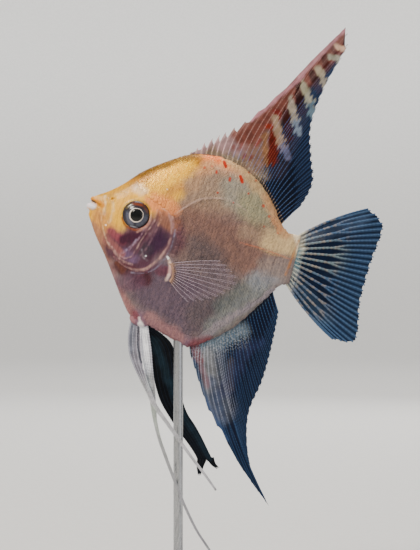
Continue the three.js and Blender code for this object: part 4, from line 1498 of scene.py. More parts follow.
@dataclass(frozen=True)
class FinFinish:
    """A fin: skin stretched between jointed rays of bone, both under clear slime.

    The joints of the rays are paler than the gaps between them, which beads each ray.
    """

    name: str
    membrane: str
    ray: str
    marks: tuple[Mark, ...] = ()
    ray_marks: tuple[Mark, ...] = ()
    ray_amount: float = 0.75
    stripe: float = 0.55  # how much of the rays' colour the membrane beside them takes
    gap: float = 0.68  # how much of its colour a ray keeps between two joints
    fleck: str = ""  # colour of the patches that mottle the rays
    sheath: str = "#8c8478"  # colour of the scaly sheath at the foot of each ray
    sheath_length: float = 1.6
    granules: Mark | None = None  # where small scales cover the fin's foot
    jog: float = 1.2  # how far the marks of one ray are set off from its neighbour's, along the ray
    see_through: float = 0.0
    ray_solid: float = 1.0  # how solid a ray is in a fin that light passes
    roughness: float = 0.4

    def make(self, blade: "Fin") -> Material:
        """Makes the material.

        Args:
            blade: The fin that it is for, with the numbers of its rays.

        Returns:
            The material.
        """
        paint = Painter(self.name)
        add = paint.add
        place = add(CARRIED, output="Vector", attribute_name="fin_place")
        number, distance, share = add("ShaderNodeSeparateXYZ", (place,), None)
        is_ray = add(MATH, (add(CARRIED, output="Fac", attribute_name="thick"), 0.0), operation="GREATER_THAN")
        nearest = add(MATH, (number,), operation="ROUND")
        off = add(MATH, (add(MATH, (number, nearest), operation="SUBTRACT"),), operation="ABSOLUTE")
        spread = add(RANGE, (share, blade.fork_at, 0.4 + 0.6 * blade.fork_at, 0.0, blade.fork_spread))
        off = add(MATH, (add(MATH, (off, spread), operation="SUBTRACT"),), operation="ABSOLUTE")
        # Each ray draws a number of its own, and its marks are set off by it.
        draw = add("ShaderNodeTexWhiteNoise", {"W": nearest}, "Value", noise_dimensions="1D")
        jog = add(MATH, (add(MATH, (draw, 0.5), operation="SUBTRACT"), self.jog), operation="MULTIPLY")
        way = add(CARRIED, output="Vector", attribute_name="ray_way")
        push = add(VECTOR, {0: way, "Scale": jog}, operation="SCALE")
        where = add(VECTOR, (paint.shifted(2.0, 0.4), push), operation="ADD")
        cloud = add(RANGE, (paint.noise(2.4, detail=4.0), 0.35, 0.65, 0.0, 0.35))
        tint = paint.layers(paint.marks(colour(self.membrane), where, self.marks), (cloud, "#0a1420", "MULTIPLY"))
        if self.granules:
            cover = add(RANGE, (paint.noise(0.5, detail=1.0), 0.48, 0.62, 0.0, 0.75))
            foot = add(MATH, (cover, paint.stroke(where, self.granules)), operation="MULTIPLY")
            tint = paint.layers(tint, (foot, self.granules.tint))
        # The joints bead the rays, but not the spines.
        wave = add(MATH, (add(MATH, (distance, 2 * math.pi / blade.joint), operation="MULTIPLY"),), operation="SINE")
        wave = add(MATH, (wave, add(MATH, (draw, 0.6), operation="MULTIPLY")), operation="ADD")
        is_spine = add(MATH, (nearest, blade.spines - 0.5), operation="LESS_THAN")
        bead = add(MATH, (add(RANGE, (wave, -0.9, 0.9, self.gap, 1.0)), is_spine), operation="MAXIMUM")
        sheath = add(RANGE, (distance, 0.6 * self.sheath_length, self.sheath_length, 1.0, 0.0))
        fade = add(RANGE, (off, 0.08, 0.26, self.stripe, 0.0))
        beside = add(MATH, (fade, add(MATH, (share, sheath), operation="MAXIMUM")), operation="MULTIPLY")
        near = add(MATH, (is_ray, beside), operation="MAXIMUM")
        bead = add(MATH, (bead, self.ray_amount), operation="MULTIPLY")
        bone = paint.marks(colour(self.ray), where, self.ray_marks)
        if self.fleck:
            patches = add(RANGE, (paint.noise(1.8), 0.46, 0.6, 0.0, 0.8))
            inner = add(RANGE, (share, 0.35, 0.8, 1.0, 0.0))
            bone = paint.layers(bone, (add(MATH, (patches, inner), operation="MULTIPLY"), self.fleck))
        bone = paint.layers(bone, (sheath, self.sheath))
        tint = paint.layers(tint, (add(MATH, (near, bead), operation="MULTIPLY"), bone, "SCREEN"))
        uneven = (paint.noise(1.2), 0.3, 0.7, self.roughness - 0.08, self.roughness + 0.12)
        inputs = {"Base Color": tint, "Roughness": add(RANGE, uneven), "IOR": 1.4, "Specular IOR Level": 0.16,
                  "Coat Weight": 0.05, "Coat Roughness": 0.15, "Coat IOR": 1.34,
                  "Normal": paint.relief((paint.noise(0.3), 0.02))}
        if self.see_through:
            clear = add(RANGE, (near, 0.0, 0.8, 1 - self.see_through, self.ray_solid))
            fleshy = add(RANGE, (distance, 0.2, 1.3, 0.9, 0.0))
            inputs["Alpha"] = add(MATH, (clear, fleshy), operation="MAXIMUM")
        return paint.finish(inputs)


@dataclass(kw_only=True)
class Fin:
    """A fin of rays in a membrane; each kind of fin says where its rays run."""

    rays: int
    spines: int = 0
    per_gap: int = 6  # columns of membrane from one ray to the next
    rows: int = 44
    sunk: float = 1.3  # how far it goes into the flesh, in millimetres
    root_half: float = 0.55  # half thickness where it leaves the flesh
    half: float = 0.16  # half thickness of the membrane
    edge_half: float = 0.07
    ray_root: float = 0.34  # radius of a ray
    ray_tip: float = 0.1
    spine_root: float = 0.42
    spine_tip: float = 0.05
    notch: float = 0.9  # how far the membrane stays behind the tips of the rays
    spine_notch: float = 1.9
    fork_at: float = 0.5  # share of its length at which a soft ray forks
    fork_spread: float = 0.17  # how far its branches part, as a share of the gap between rays
    forks: int = 2
    step: float = 0.24  # length of a ray's pieces
    joint: float = 0.95
    fleshy: float = 3.0  # length over which the root thins to membrane

    def place(self, u: Array, v: Array) -> Array:
        """Finds the middle of the fin.

        Args:
            u: Ray numbers, with parts of the gap to the next.
            v: Shares of the ray's length.

        Returns:
            Places of s, y and h.
        """
        raise NotImplementedError

    def lengths(self, u: Array) -> Array:
        """Returns the lengths of the fin at ray numbers."""
        path = np.stack([self.place(u, np.full_like(u, v)) for v in np.linspace(0, 1, 9)])
        return np.linalg.norm(np.diff(path, axis=0), axis=2).sum(0)

    def soft_notch(self, u: Array) -> Array:
        """Returns how far the membrane stays behind the tips of the soft rays."""
        return np.full_like(u, self.notch)

    def reach(self, u: Array) -> Array:
        """Finds where the membrane ends.

        Args:
            u: Ray numbers.

        Returns:
            The share of the full length at each.
        """
        gap = u - np.floor(u + 1e-6)
        behind_spine = u < self.spines - 1
        between = self.soft_notch(u) * np.sin(math.pi * gap) ** 0.7
        depth = np.where(behind_spine, self.spine_notch * gap**0.8, between)
        return 1 - np.minimum(depth / np.maximum(self.lengths(u), 1e-3), np.where(behind_spine, 0.6, 0.35))

    def way(self, u: Array, v: Array) -> Array:
        """Returns the direction of the rays."""
        step = self.place(u, v + 0.01) - self.place(u, v - 0.01)
        return step / np.maximum(np.linalg.norm(step, axis=-1), 1e-9)[..., None]

    def sheet(self) -> Form:
        """Makes the membrane, closed round its rim.

        Returns:
            The form.
        """
        u = np.linspace(0, self.rays - 1, (self.rays - 1) * self.per_gap + 1)
        length = self.lengths(u)
        start = -self.sunk / length
        v = start + (self.reach(u) - start) * np.linspace(0, 1, self.rows)[:, None]
        u = np.broadcast_to(u, v.shape)
        distance = v * length
        thin = self.half + (self.edge_half - self.half) * np.clip(v, 0, 1)
        half = thin + (self.root_half - thin) * (1 - ease(distance / self.fleshy))
        middle = self.place(u, v).reshape(-1, 3)
        out = np.stack([0 * half, half, 0 * half], -1).reshape(-1, 3)
        index = np.arange(v.size).reshape(v.shape)
        corners = (index[:-1, :-1], index[:-1, 1:], index[1:, 1:], index[1:, :-1])
        faces = list(zip(*(corner.ravel().tolist() for corner in corners)))
        faces += [tuple(i + v.size for i in reversed(face)) for face in faces]
        rim = np.concatenate([index[0], index[1:, -1], index[-1, -2::-1], index[-2:0:-1, 0]]).tolist()
        faces += [(b, a, a + v.size, b + v.size) for a, b in zip(rim, [*rim[1:], rim[0]])]
        place = np.stack([u, distance, np.clip(v, 0, 1)], -1).reshape(-1, 3)
        way = self.way(u, v).reshape(-1, 3)
        values = {"fin_place": np.tile(place, (2, 1)), "ray_way": np.tile(way, (2, 1)), "thick": np.zeros(2 * v.size)}
        return Form(np.concatenate([middle - out, middle + out]), faces, values=values)

    def line(self, u: Array, v: Array, radius: Array, length: float) -> Form:
        """Makes one ray or branch as a loose line that carries its radius.

        Args:
            u: Ray number at each of its places.
            v: Shares of its length.
            radius: Its radius at each place.
            length: Its length.

        Returns:
            The form.
        """
        distance = v * length
        bead = 1 + 0.13 * np.sin(2 * math.pi * distance / self.joint)
        place = np.stack([np.round(u), distance, np.clip(v, 0, 1)], -1)
        values = {"fin_place": place, "ray_way": self.way(u, v), "thick": radius * bead * MM}
        return Form(self.place(u, v), edges=[(i, i + 1) for i in range(len(v) - 1)], values=values)

    def ray(self, number: int) -> list[Form]:
        """Makes one ray.

        Args:
            number: Its number from the front.

        Returns:
            The ray and its branches.
        """
        length = float(self.lengths(np.array([float(number)]))[0])
        is_spine = number < self.spines
        root, tip = (self.spine_root, self.spine_tip) if is_spine else (self.ray_root, self.ray_tip)
        count = max(int(length / self.step), 8)
        fork = 1.0 if is_spine or self.forks == 0 else self.fork_at
        v = np.linspace(-0.6 * self.sunk / length, fork, max(int(count * fork), 5))
        radius = root + (tip - root) * np.clip(v, 0, 1) ** 0.8
        if is_spine:
            radius *= 1 - 0.6 * ease((v - 0.8) / 0.2)
        forms = [self.line(np.full(len(v), float(number)), v, radius, length)]
        for branch in np.linspace(-1, 1, self.forks) if fork < 1 else ():
            v = np.linspace(fork - 0.02, 1, max(int(count * (1 - fork)), 5))
            part = branch * self.fork_spread * ease((v - fork) / (0.4 - 0.4 * fork))
            radius = 0.8 * (root + (tip - root) * np.clip(v, 0, 1) ** 0.8)
            forms.append(self.line(np.clip(number + part, 0, self.rays - 1), v, radius, length))
        return forms

    def form(self) -> Form:
        """Returns the membrane and all rays."""
        return Form.joined([self.sheet(), *(form for number in range(self.rays) for form in self.ray(number))])


def build_fin(name: str, blades: Sequence[Fin], finish: FinFinish, sides: int = 6) -> Piece:
    """Builds a finished fin.

    Args:
        name: Name of the piece.
        blades: The parts that it is made of.
        finish: Its material.
        sides: Faces round each ray.

    Returns:
        The piece.
    """
    made = Form.joined([blade.form() for blade in blades]).make(name)
    return grown(made, ray_tree(), {"Sides": sides, "Thicker": 1.0, "Finish": finish.make(blades[0])})


def bowed(root: Array, tip: Array, bend: Any, v: Array) -> Array:
    """Finds places on rays that bow from their roots to their tips.

    Args:
        root: The roots, in s and h.
        tip: The tips.
        bend: How much each bows.
        v: Shares of their lengths.

    Returns:
        Arrays of s and of h.
    """
    way = tip - root
    pull = (2 * v * (1 - v) * bend)[..., None]
    return np.moveaxis(root + way * v[..., None] + np.stack([-way[..., 1], way[..., 0]], -1) * pull, -1, 0)


@dataclass(kw_only=True)
class EdgeFin(Fin):
    """A fin on the edge of the back or the belly, whose rays rise to a longest one and fall again."""

    rays: int = 33
    spine_root: float = 0.36
    ray_root: float = 0.25
    ray_tip: float = 0.12
    fleshy: float = 1.3
    root_half: float = 0.34
    fork_spread: float = 0.22
    edge: SmoothLine  # of the body
    base: Place  # s of its first and its last ray
    longest: int  # the ray that reaches the fin's tip
    roots: SmoothLine  # ray numbers and how far along the base they stand
    tips: Points  # ray numbers and how far along the front line they end, up to the longest
    front: Trace  # the line of the front rays' tips
    rear: Trace  # the line of the rear rays' tips
    rear_reach: float = 0.87
    rear_power: float = 0.75
    bends: SmoothLine = SmoothLine((0, 0.1), (9, 0.11), (13, 0.055), (20, 0.07), (32, 0.04))
    notches: SmoothLine
    sway: float = 1.6

    def ends(self, u: Array) -> tuple[Array, Array]:
        """Finds where rays start and end.

        Args:
            u: Their numbers.

        Returns:
            Their roots and tips, in s and h.
        """
        s = self.base[0] + (self.base[1] - self.base[0]) * self.roots(u)
        fall = np.clip((u - self.longest) / (self.rays - 1 - self.longest), 0, 1) ** self.rear_power
        front = self.front.at(np.interp(u, *np.array(self.tips).T))
        tip = np.where((u <= self.longest)[..., None], front, self.rear.at(self.rear_reach * fall))
        return np.stack([s, self.edge(s)], -1), tip

    def soft_notch(self, u: Array) -> Array:
        """Returns how far the membrane stays behind the tips of the soft rays."""
        return self.notches(u)

    def place(self, u: Array, v: Array) -> Array:
        """Returns the middle of the fin, as Fin.place does."""
        s, h = bowed(*self.ends(u), self.bends(u), v)
        return np.stack([s, self.sway * v * np.abs(v) * np.sin(2.4 * math.pi * self.roots(u)), h], -1)


@dataclass(kw_only=True)
class TailFin(Fin):
    """The tail fin, a fan from the end of the stalk."""

    root_s: float = 70.9
    root_top: float = 8.0
    root_bottom: float = -8.3
    edge: Trace = Trace((91, 22.6), (94.6, 21), (97.3, 18.3), (96.6, 5), (96.3, -8), (97.5, -21.3), (90.4, -22.5))
    sway: float = 1.2

    def place(self, u: Array, v: Array) -> Array:
        """Finds the middle of the fin.

        Args:
            u: Ray numbers.
            v: Shares of the ray's length.

        Returns:
            Places of s, y and h.
        """
        share = u / (self.rays - 1)
        root_h = self.root_top + (self.root_bottom - self.root_top) * share
        root = np.stack([np.full_like(share, self.root_s), root_h], -1)
        s, h = bowed(root, self.edge.at(share), 0.16 * (0.5 - share), v)
        return np.stack([s, self.sway * v * np.abs(v) * np.sin(1.6 * math.pi * share), h], -1)


@dataclass(kw_only=True)
class PectoralFin(Fin):
    """The clear fin behind a gill cover."""

    side: Side
    rays: int = 12
    per_gap: int = 5
    rows: int = 30
    fork_at: float = 0.62
    fork_spread: float = 0.13
    ray_root: float = 0.12
    ray_tip: float = 0.05
    half: float = 0.09
    edge_half: float = 0.05
    root_half: float = 0.4
    fleshy: float = 1.4
    notch: float = 1.5
    root_top: Place = (31.9, -11.6)
    root_bottom: Place = (33, -17.2)
    edge: Trace = Trace((47.5, -6.6), (51.2, -8.4), (54.7, -11.7), (51.7, -16.4), (45.8, -20.4), (40.5, -22.4))
    root_bow: float = 0.9  # how far the middle of its foot stands back
    root_out: float = 0.75  # how far its foot stands out of the flank
    flare: float = 0.38  # how far it stands out for each millimetre of length
    dive: float = 1.7  # the same for its foot, which goes into the flesh

    def place(self, u: Array, v: Array) -> Array:
        """Finds the middle of the fin.

        Args:
            u: Ray numbers.
            v: Shares of the ray's length.

        Returns:
            Places of s, y and h.
        """
        share = u / (self.rays - 1)
        top, bottom = np.array(self.root_top), np.array(self.root_bottom)
        root = top + (bottom - top) * share[..., None]
        root[..., 0] += self.root_bow * np.sin(math.pi * share)
        tip = self.edge.at(share)
        rise = np.linalg.norm(tip - root, axis=-1) * np.where(v > 0, self.flare, self.dive) * v
        out = BODY.flank(root[..., 0], root[..., 1]) + self.root_out + rise
        s, h = bowed(root, tip, 0.08 * (0.5 - share), v)
        return np.stack([s, self.side.value * out, h], -1)


@dataclass(kw_only=True)
class PelvicBlade(Fin):
    """A blade of a pelvic fin, whose two edges run together into a filament."""

    stations: Points  # s and h of the front edge, s and h of the rear edge, and y
    on_belly: bool = True
    sunk: float = 1.6
    forks: int = 0

    @cached_property
    def edges(self) -> Trace:
        """Both edges and y, from the root to the tip."""
        rows = [list(row) for row in self.stations]
        if self.on_belly:
            rows[0][1], rows[0][3] = float(BODY.belly(rows[0][0])), float(BODY.belly(rows[0][2]))
        return Trace(*rows)

    def place(self, u: Array, v: Array) -> Array:
        """Finds the middle of the blade.

        Args:
            u: Ray numbers.
            v: Shares of the ray's length.

        Returns:
            Places of s, y and h.
        """
        share = (u / (self.rays - 1))[..., None]
        below = np.minimum(v, 0)[..., None] * (self.edges.at(0.02) - self.edges.at(0)) / 0.02
        row = self.edges.at(v) + below
        s_h = row[..., 0:2] + (row[..., 2:4] - row[..., 0:2]) * share
        return np.stack([s_h[..., 0], row[..., 4], s_h[..., 1]], -1)


DORSAL_FIN = EdgeFin(
    spines=10, edge=BODY.back, base=(28.8, 64.2), longest=13, spine_notch=4.4,
    roots=SmoothLine((0, 0.01), (4, 0.2), (9, 0.45), (13, 0.6), (22, 0.8), (32, 1.0)),
    tips=((0, 0.02), (1, 0.057), (2, 0.1), (3, 0.143), (4, 0.183), (5, 0.216), (6, 0.263), (7, 0.323), (8, 0.406),
          (9, 0.517), (10, 0.66), (11, 0.8), (12, 0.92), (13, 1)),
    front=Trace((28.6, 25.2), (33, 30.7), (39.2, 36.1), (44.7, 41.3), (50.4, 49.2), (54.6, 55), (60, 64.9),
                  (68.5, 79.1)),
    rear=Trace((68.5, 79.1), (70.6, 74.4), (67, 59.3), (65.7, 45), (68.4, 35.1), (71.1, 26.6), (69, 17.9),
                 (64.8, 9.6)),
    notches=SmoothLine((8, 0.3), (12, 0.25), (13.5, 1.8), (16, 1.4), (22, 0.9), (32, 0.8)),
)
DORSAL_FINISH = FinFinish(
    "marbled back fin", "#040a1c", "#314a72",
    marks=strokes(
        (34, 28, 50, 38, 4.5, 7, "#927475"),
        (36, 27, 54, 25, 1, 4, "#6f5f4c", 0.9),
        (50, 28, 52, 46, 2.5, 5, "#785c50", 0.95),
        (45, 38, 66, 75, 4, 6.5, "#683a32"),
        (60.5, 46, 58, 27, 2, 4.5, "#221c28", 0.9),
        (51.4, 37, 54.6, 29, 0.3, 1.6, "#85582f", 0.65),
        (54.3, 39, 56, 30, 0.9, 2, "#4e1305"),
        (51.6, 40.6, 52.6, 40, 0.5, 1.4, "#7d2715", 0.95),
        (53.4, 44, 58.2, 35.4, 0.7, 1.9, "#937b65"),
        (58.2, 35.4, 60.6, 32.4, 0.6, 1.8, "#555570", 0.9),
        (57, 51, 60.2, 44.6, 0.6, 1.8, "#978c7d"),
        (60.2, 44.6, 62.2, 40.8, 0.4, 1.5, "#6a7584"),
        (59.8, 57.4, 63.9, 51.2, 0.6, 1.9, "#8a8771"),
        (63.9, 51.2, 64.8, 47.4, 0.5, 1.5, "#576a74"),
        (63.4, 63.8, 66, 59.6, 0.7, 1.9, "#908670"),
        (65.8, 68.6, 69.4, 68.4, 0.5, 1.6, "#878778"),
        (67, 72.6, 69.4, 72, 0.4, 1.6, "#c8a68c", 0.9),
        (53, 46, 54.4, 45.2, 0.5, 1.5, "#6a1f1b", 0.95),
        (56.4, 47.4, 59.6, 38.4, 0.7, 1.7, "#310f0a", 0.95),
        (58, 56, 62.2, 47.8, 0.7, 1.7, "#220809", 0.95),
        (61.7, 61.9, 65.4, 56.8, 0.7, 1.8, "#280e0f", 0.95),
        (64, 69, 66, 64.6, 0.6, 1.7, "#35100e", 0.95),
        (66.2, 72, 67.6, 70.4, 0.4, 1.3, "#4a2628", 0.9),
        (46, 41.8, 58.5, 59.4, 0.2, 1.3, "#b07783", 0.85),
        (57.5, 58.9, 68.4, 78.6, 0.2, 1.3, "#b8808a", 0.9),
        (69.6, 77, 70, 73.5, 0.1, 1.2, "#1c1a26", 0.9),
        (49.4, 33.6, 50.2, 35.4, 0.3, 1.0, "#7c3630", 0.8),
        (44.6, 31.8, 45, 33.2, 0.2, 0.8, "#844a46", 0.75),
        (46.5, 29, 46.8, 29.9, 0.2, 0.8, "#7c3c34", 0.75),
        (42.2, 31, 42.5, 31.8, 0.2, 0.8, "#844a46", 0.7),
        (48.6, 28.6, 48.9, 29.5, 0.2, 0.8, "#7c3c34", 0.7),
        (42, 30.5, 50, 33, 0.2, 1.0, "#754a45", 0.5),
    ),
    ray_marks=strokes(
        (30, 26, 48, 46, 4, 8, "#c09a9a"),
        (51.6, 37, 54.8, 29, 0.6, 1.8, "#8b5c2c", 0.7),
        (54.6, 39, 56.4, 30, 1, 2.2, "#661d0b", 0.95),
        (45, 36, 68, 78, 3, 7, "#816763"),
    ),
    jog=1.6, stripe=0.4, gap=0.8, sheath="#9c8468", granules=Mark((41, 28.5), (54, 24.2), 1.0, 3.2, "#857766", 0.85),
)
ANAL_FIN = EdgeFin(
    spines=7, edge=BODY.belly, base=(45.1, 66.9), longest=9, spine_notch=4.6,
    roots=SmoothLine((0, 0.0), (5, 0.2), (9, 0.33), (20, 0.66), (32, 1.0)),
    tips=((0, 0.06), (1, 0.12), (2, 0.19), (3, 0.27), (4, 0.36), (5, 0.46), (6, 0.58), (7, 0.72), (8, 0.87), (9, 1)),
    front=Trace((45, -38), (49.1, -44.7), (52.7, -50.4), (57.2, -56.9), (64.1, -63.7), (71.7, -71.5), (83.7, -81.6)),
    rear=Trace((83.7, -81.6), (75.1, -71.4), (71, -61.5), (69.6, -53), (71.3, -41.7), (71.3, -27), (70.1, -15.6),
                 (67.4, -9.8)),
    rear_reach=0.88, rear_power=0.7, sway=-1.8,
    bends=SmoothLine((0, -0.1), (5, -0.12), (9, -0.09), (20, -0.05), (32, -0.02)),
    notches=SmoothLine((5, 0.5), (9, 0.5), (10.5, 0.7), (14, 0.6), (32, 0.6)),
)
ANAL_FINISH = FinFinish(
    "marbled anal fin", "#050c23", "#274364",
    marks=strokes(
        (56, -45, 64, -60, 4, 8, "#10162a", 0.9),
        (53, -38, 60, -56, 2.4, 6, "#414755", 0.9),
        (49, -36.5, 60, -27, 1.0, 4.2, "#586774", 0.95),
        (51, -38, 55.5, -48, 1.0, 3.6, "#74767a", 0.85),
        (55, -46, 61.5, -58, 0.5, 2.6, "#3d4862", 0.7),
        (59.5, -38, 61.5, -47, 0.4, 1.8, "#544b44", 0.65),
        (63.5, -32, 67, -30, 0.8, 3.6, "#1e2443", 0.7),
        (46.6, -36.4, 49.2, -40.4, 0.8, 2.1, "#6e3a42", 0.85),
        (49.6, -41, 54, -48, 0.3, 1.5, "#755660", 0.7),
        (63, -33, 60, -48, 1, 4, "#282c4a", 0.6),
        (47, -41, 56, -55, 0.2, 1.4, "#394c68", 0.6),
        (54, -53, 64, -64, 0.5, 2, "#2c436d", 0.7),
    ),
    ray_marks=strokes((50, -36, 60, -54, 3, 7, "#6f727e"),),
    ray_amount=0.85, stripe=0.4, gap=0.6, sheath="#3c5264", sheath_length=2.0,
    granules=Mark((49, -36.5), (59, -29), 1.5, 6.5, "#888c91", 0.9),
)
TAIL_FIN = TailFin(
    rays=15, per_gap=8, rows=40, notch=0.6, fork_at=0.42, fork_spread=0.25, root_half=0.7, fleshy=3.6,
    sunk=2.2, ray_root=0.5, ray_tip=0.32, joint=1.3,
)
TAIL_FINISH = FinFinish(
    "navy tail fin", "#04142c", "#3c5472",
    marks=strokes(
        (71, 9, 71, 3, 1.2, 3.6, "#afa891", 0.9),
        (71, 2, 71.4, -4, 0.8, 3.2, "#5d8391", 0.9),
        (71.4, -5, 72, -9, 1, 3.6, "#8f8b84", 0.9),
        (72, 7.6, 78, 10, 0.6, 2.4, "#716d6a", 0.8),
        (73, -7, 86, -17, 1, 4.4, "#203248", 0.8),
        (75, 9, 90, 18, 0.8, 3.8, "#2e3c54", 0.8),
    ),
    ray_marks=strokes(
        (72, 3, 82, 4, 3, 9, "#73817d", 0.7),
        (73, -6, 84, -14, 2, 6, "#565b63", 0.6),
    ),
    ray_amount=0.95, gap=0.84, fleck="#857a6c", sheath="#a5a28e", sheath_length=3.2,
    granules=Mark((72, 6), (72.4, -7), 0.5, 3.0, "#838e8d", 0.8),
)
PECTORAL_FINISH = FinFinish(
    "clear side fin", "#786474", "#d6c6d2",
    marks=strokes((32, -11, 33.6, -17.6, 0.6, 2.2, "#a4806c"),),
    ray_amount=0.6, stripe=0.1, gap=0.95, see_through=0.88, ray_solid=0.5, sheath="#b08d78",
)
PELVIC_OUTER = PelvicBlade(
    rays=4, spines=1, ray_root=0.3, ray_tip=0.1, notch=0.0, spine_notch=0.0, root_half=0.6, rows=70,
    stations=(
        (23.9, 0, 26.9, 0, -1.35), (24.4, -38.1, 28.2, -37.4, -1.9), (25.8, -42.9, 29.6, -42.2, -2.5),
        (27.6, -46.1, 31.8, -47.3, -3), (31.2, -50.6, 33.9, -51.1, -3.5), (34.9, -54.9, 36.3, -54.5, -4),
        (38, -58.7, 39.2, -58.2, -4.4), (43.4, -63.1, 44.1, -62.5, -4.9), (49.4, -68.1, 50, -67.5, -5.5),
        (54.7, -72.4, 55.2, -71.9, -6), (60.1, -76.6, 60.6, -76.1, -6.5), (65, -80.6, 65.4, -80.2, -7),
    ),
)
PELVIC_INNER = PelvicBlade(
    rays=5, ray_root=0.34, ray_tip=0.09, notch=0.0, root_half=0.6, rows=90,
    stations=(
        (26.1, 0, 29.4, 0, -1.35), (27.9, -37.2, 30.9, -37, -1.45), (29.8, -41.9, 32.7, -41.3, -1.6),
        (32, -46.5, 34.3, -46, -1.8), (34.1, -51.2, 36, -50.6, -2), (36.2, -55.8, 37.5, -54.8, -2.2),
        (37.8, -60, 39.1, -59.6, -2.4), (39.5, -63.6, 40.4, -63.4, -2.5), (42.8, -69.6, 43.5, -69.3, -2.6),
        (46.1, -74.5, 46.8, -74.2, -2.7), (50.2, -80.3, 50.8, -80, -2.8), (53.9, -85.3, 54.4, -85, -2.9),
        (57.4, -89.9, 57.9, -89.5, -3), (62.3, -95.5, 62.7, -95.1, -3.1), (67.8, -100.5, 68.1, -100, -3.2),
        (72.5, -104.9, 72.7, -104.5, -3.3),
    ),
)
PELVIC_FAR = PelvicBlade(
    rays=7, spines=1, forks=2, fork_at=0.6, ray_root=0.34, ray_tip=0.1, notch=0.8, rows=60,
    stations=(
        (24, 0, 29.2, 0, 1.35), (27.4, -36.3, 34.6, -35.3, 2.3), (31.2, -40.8, 38.7, -37.8, 3.4),
        (34.4, -46.3, 41.5, -43.2, 5), (37.1, -52.3, 44.1, -50, 6.8), (40.2, -57.4, 46.7, -55, 8.6),
        (44.3, -61.8, 49.8, -59.4, 10.2), (48.6, -65.8, 53.2, -62.6, 11.6), (52.8, -69.3, 56.4, -66, 12.6),
        (56.2, -72.6, 59.6, -69.8, 13.4), (57.6, -74.6, 62.3, -72.9, 13.9),
    ),
)
PELVIC_FAR_FRONT = PelvicBlade(
    rays=4, sunk=0.0, ray_root=0.2, ray_tip=0.08, notch=0.6, rows=24, on_belly=False, root_half=0.16,
    stations=((57, -73.4, 59.8, -73, 13.7), (57.5, -76.2, 59.5, -75.8, 14.1), (58.6, -78.9, 59.3, -78.7, 14.4)),
)
PELVIC_FAR_REAR = replace(
    PELVIC_FAR_FRONT,
    stations=((60, -72.4, 62, -71.6, 13.7), (62, -74.2, 63.2, -73.5, 14.1), (64.2, -75.2, 64.8, -74.6, 14.5)),
)
PALE_PELVIC_FINISH = FinFinish(
    "white belly fin", "#82808c", "#8c8c98",
    marks=strokes(
        (24, -34, 25.5, -43, 0.8, 2.4, "#6e7280", 0.9),
        (24.5, -43, 31, -52, 0.2, 0.9, "#3f6076", 0.8),
        (28.4, -34, 32.8, -47, 0.7, 1.6, "#f4f7ff", 0.97),
        (26.7, -35, 27.9, -40.2, 0.1, 0.6, "#2a2a34", 0.85),
        (27.9, -40.2, 30.6, -46, 0.1, 0.5, "#2c3440", 0.85),
        (32.6, -46, 35.6, -53.5, 0.3, 1.3, "#a5aab2", 0.9),
        (36, -56, 64, -80, 0.5, 2, "#a9a7b2", 0.85),
        (38, -60, 72, -104, 0.5, 2, "#98a39c", 0.85),
    ),
    ray_marks=strokes((28.4, -34, 33.4, -48, 1, 2.2, "#e2e6f6"), (36, -55, 66, -90, 4, 9, "#8f958e")),
    ray_amount=0.7, jog=0.4, sheath="#b9aeb4",
)
DARK_PELVIC_FINISH = FinFinish(
    "dark belly fin", "#050a14", "#16202e",
    marks=strokes(
        (33, -38, 40.8, -49.8, 0.4, 2.4, "#1c3340", 0.85),
        (40.8, -49.8, 47.2, -58.7, 0.4, 2.2, "#1a303e", 0.85),
        (47.2, -58.7, 61, -72, 0.3, 1.8, "#182c3a", 0.8),
        (25, -34, 27, -38, 1, 3.4, "#2c2a34", 0.8),
    ),
    ray_amount=0.6, jog=0.6, sheath="#2c2f3c",
)


# ---- The stand ----


@dataclass(frozen=True)
class AcrylicBase:
    """Black cast acrylic, satin with a faintly cloudy gloss where it is scuffed."""

    tint: str = "#0f1011"
    cloud_tint: str = "#141517"
    roughness: float = 0.12
    scuff: float = 14.0  # millimetres across a scuffed patch
    cloud: float = 40.0  # millimetres across a paler one

    def make(self) -> Material:
        """Makes the material.

        Returns:
            The material.
        """
        paint = Painter("black acrylic")
        scuffs = (paint.noise(self.scuff, detail=4.0), 0.4, 0.7, self.roughness, self.roughness + 0.05)
        clouds = (paint.add(RANGE, (paint.noise(self.cloud), 0.3, 0.7, 0.0, 0.4)), self.cloud_tint)
        return paint.finish({"Base Color": paint.layers(colour(self.tint), clouds), "IOR": 1.49,
                             "Roughness": paint.add(RANGE, scuffs), "Normal": paint.relief((paint.noise(0.8), 0.004))})


@dataclass(frozen=True)
class BrushedSteel:
    """Stainless rod, drawn and brushed along its length, so its gloss is streaked upright."""

    tint: str = "#b9bbbe"
    streak_tint: str = "#8d9093"
    brush: float = 0.25  # millimetres across a brush mark

    def make(self) -> Material:
        """Makes the material.

        Returns:
            The material.
        """
        paint = Painter("brushed stainless steel")
        marks = paint.noise(self.brush, (1, 1, 0.03))
        streaks = (paint.add(RANGE, (marks, 0.3, 0.7, 0.0, 0.4)), self.streak_tint)
        return paint.finish({"Base Color": paint.layers(colour(self.tint), streaks), "Metallic": 1.0,
                             "Roughness": paint.add(RANGE, (marks, 0.3, 0.7, 0.22, 0.36)),
                             "Normal": paint.relief((marks, 0.006))})


@dataclass
class Stand:
    """The base and the rod, which keep their solids."""

    base: AcrylicBase = AcrylicBase()
    rod: BrushedSteel = BrushedSteel()

    def dress(self) -> None:
        """Gives both solids their materials."""
        for name, finish in (("stand_base", self.base), ("stand_rod", self.rod)):
            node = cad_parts[name]
            node.data.materials.clear()
            node.data.materials.append(finish.make())
            log.info("%s keeps its solid", name)


# ---- The studio ----


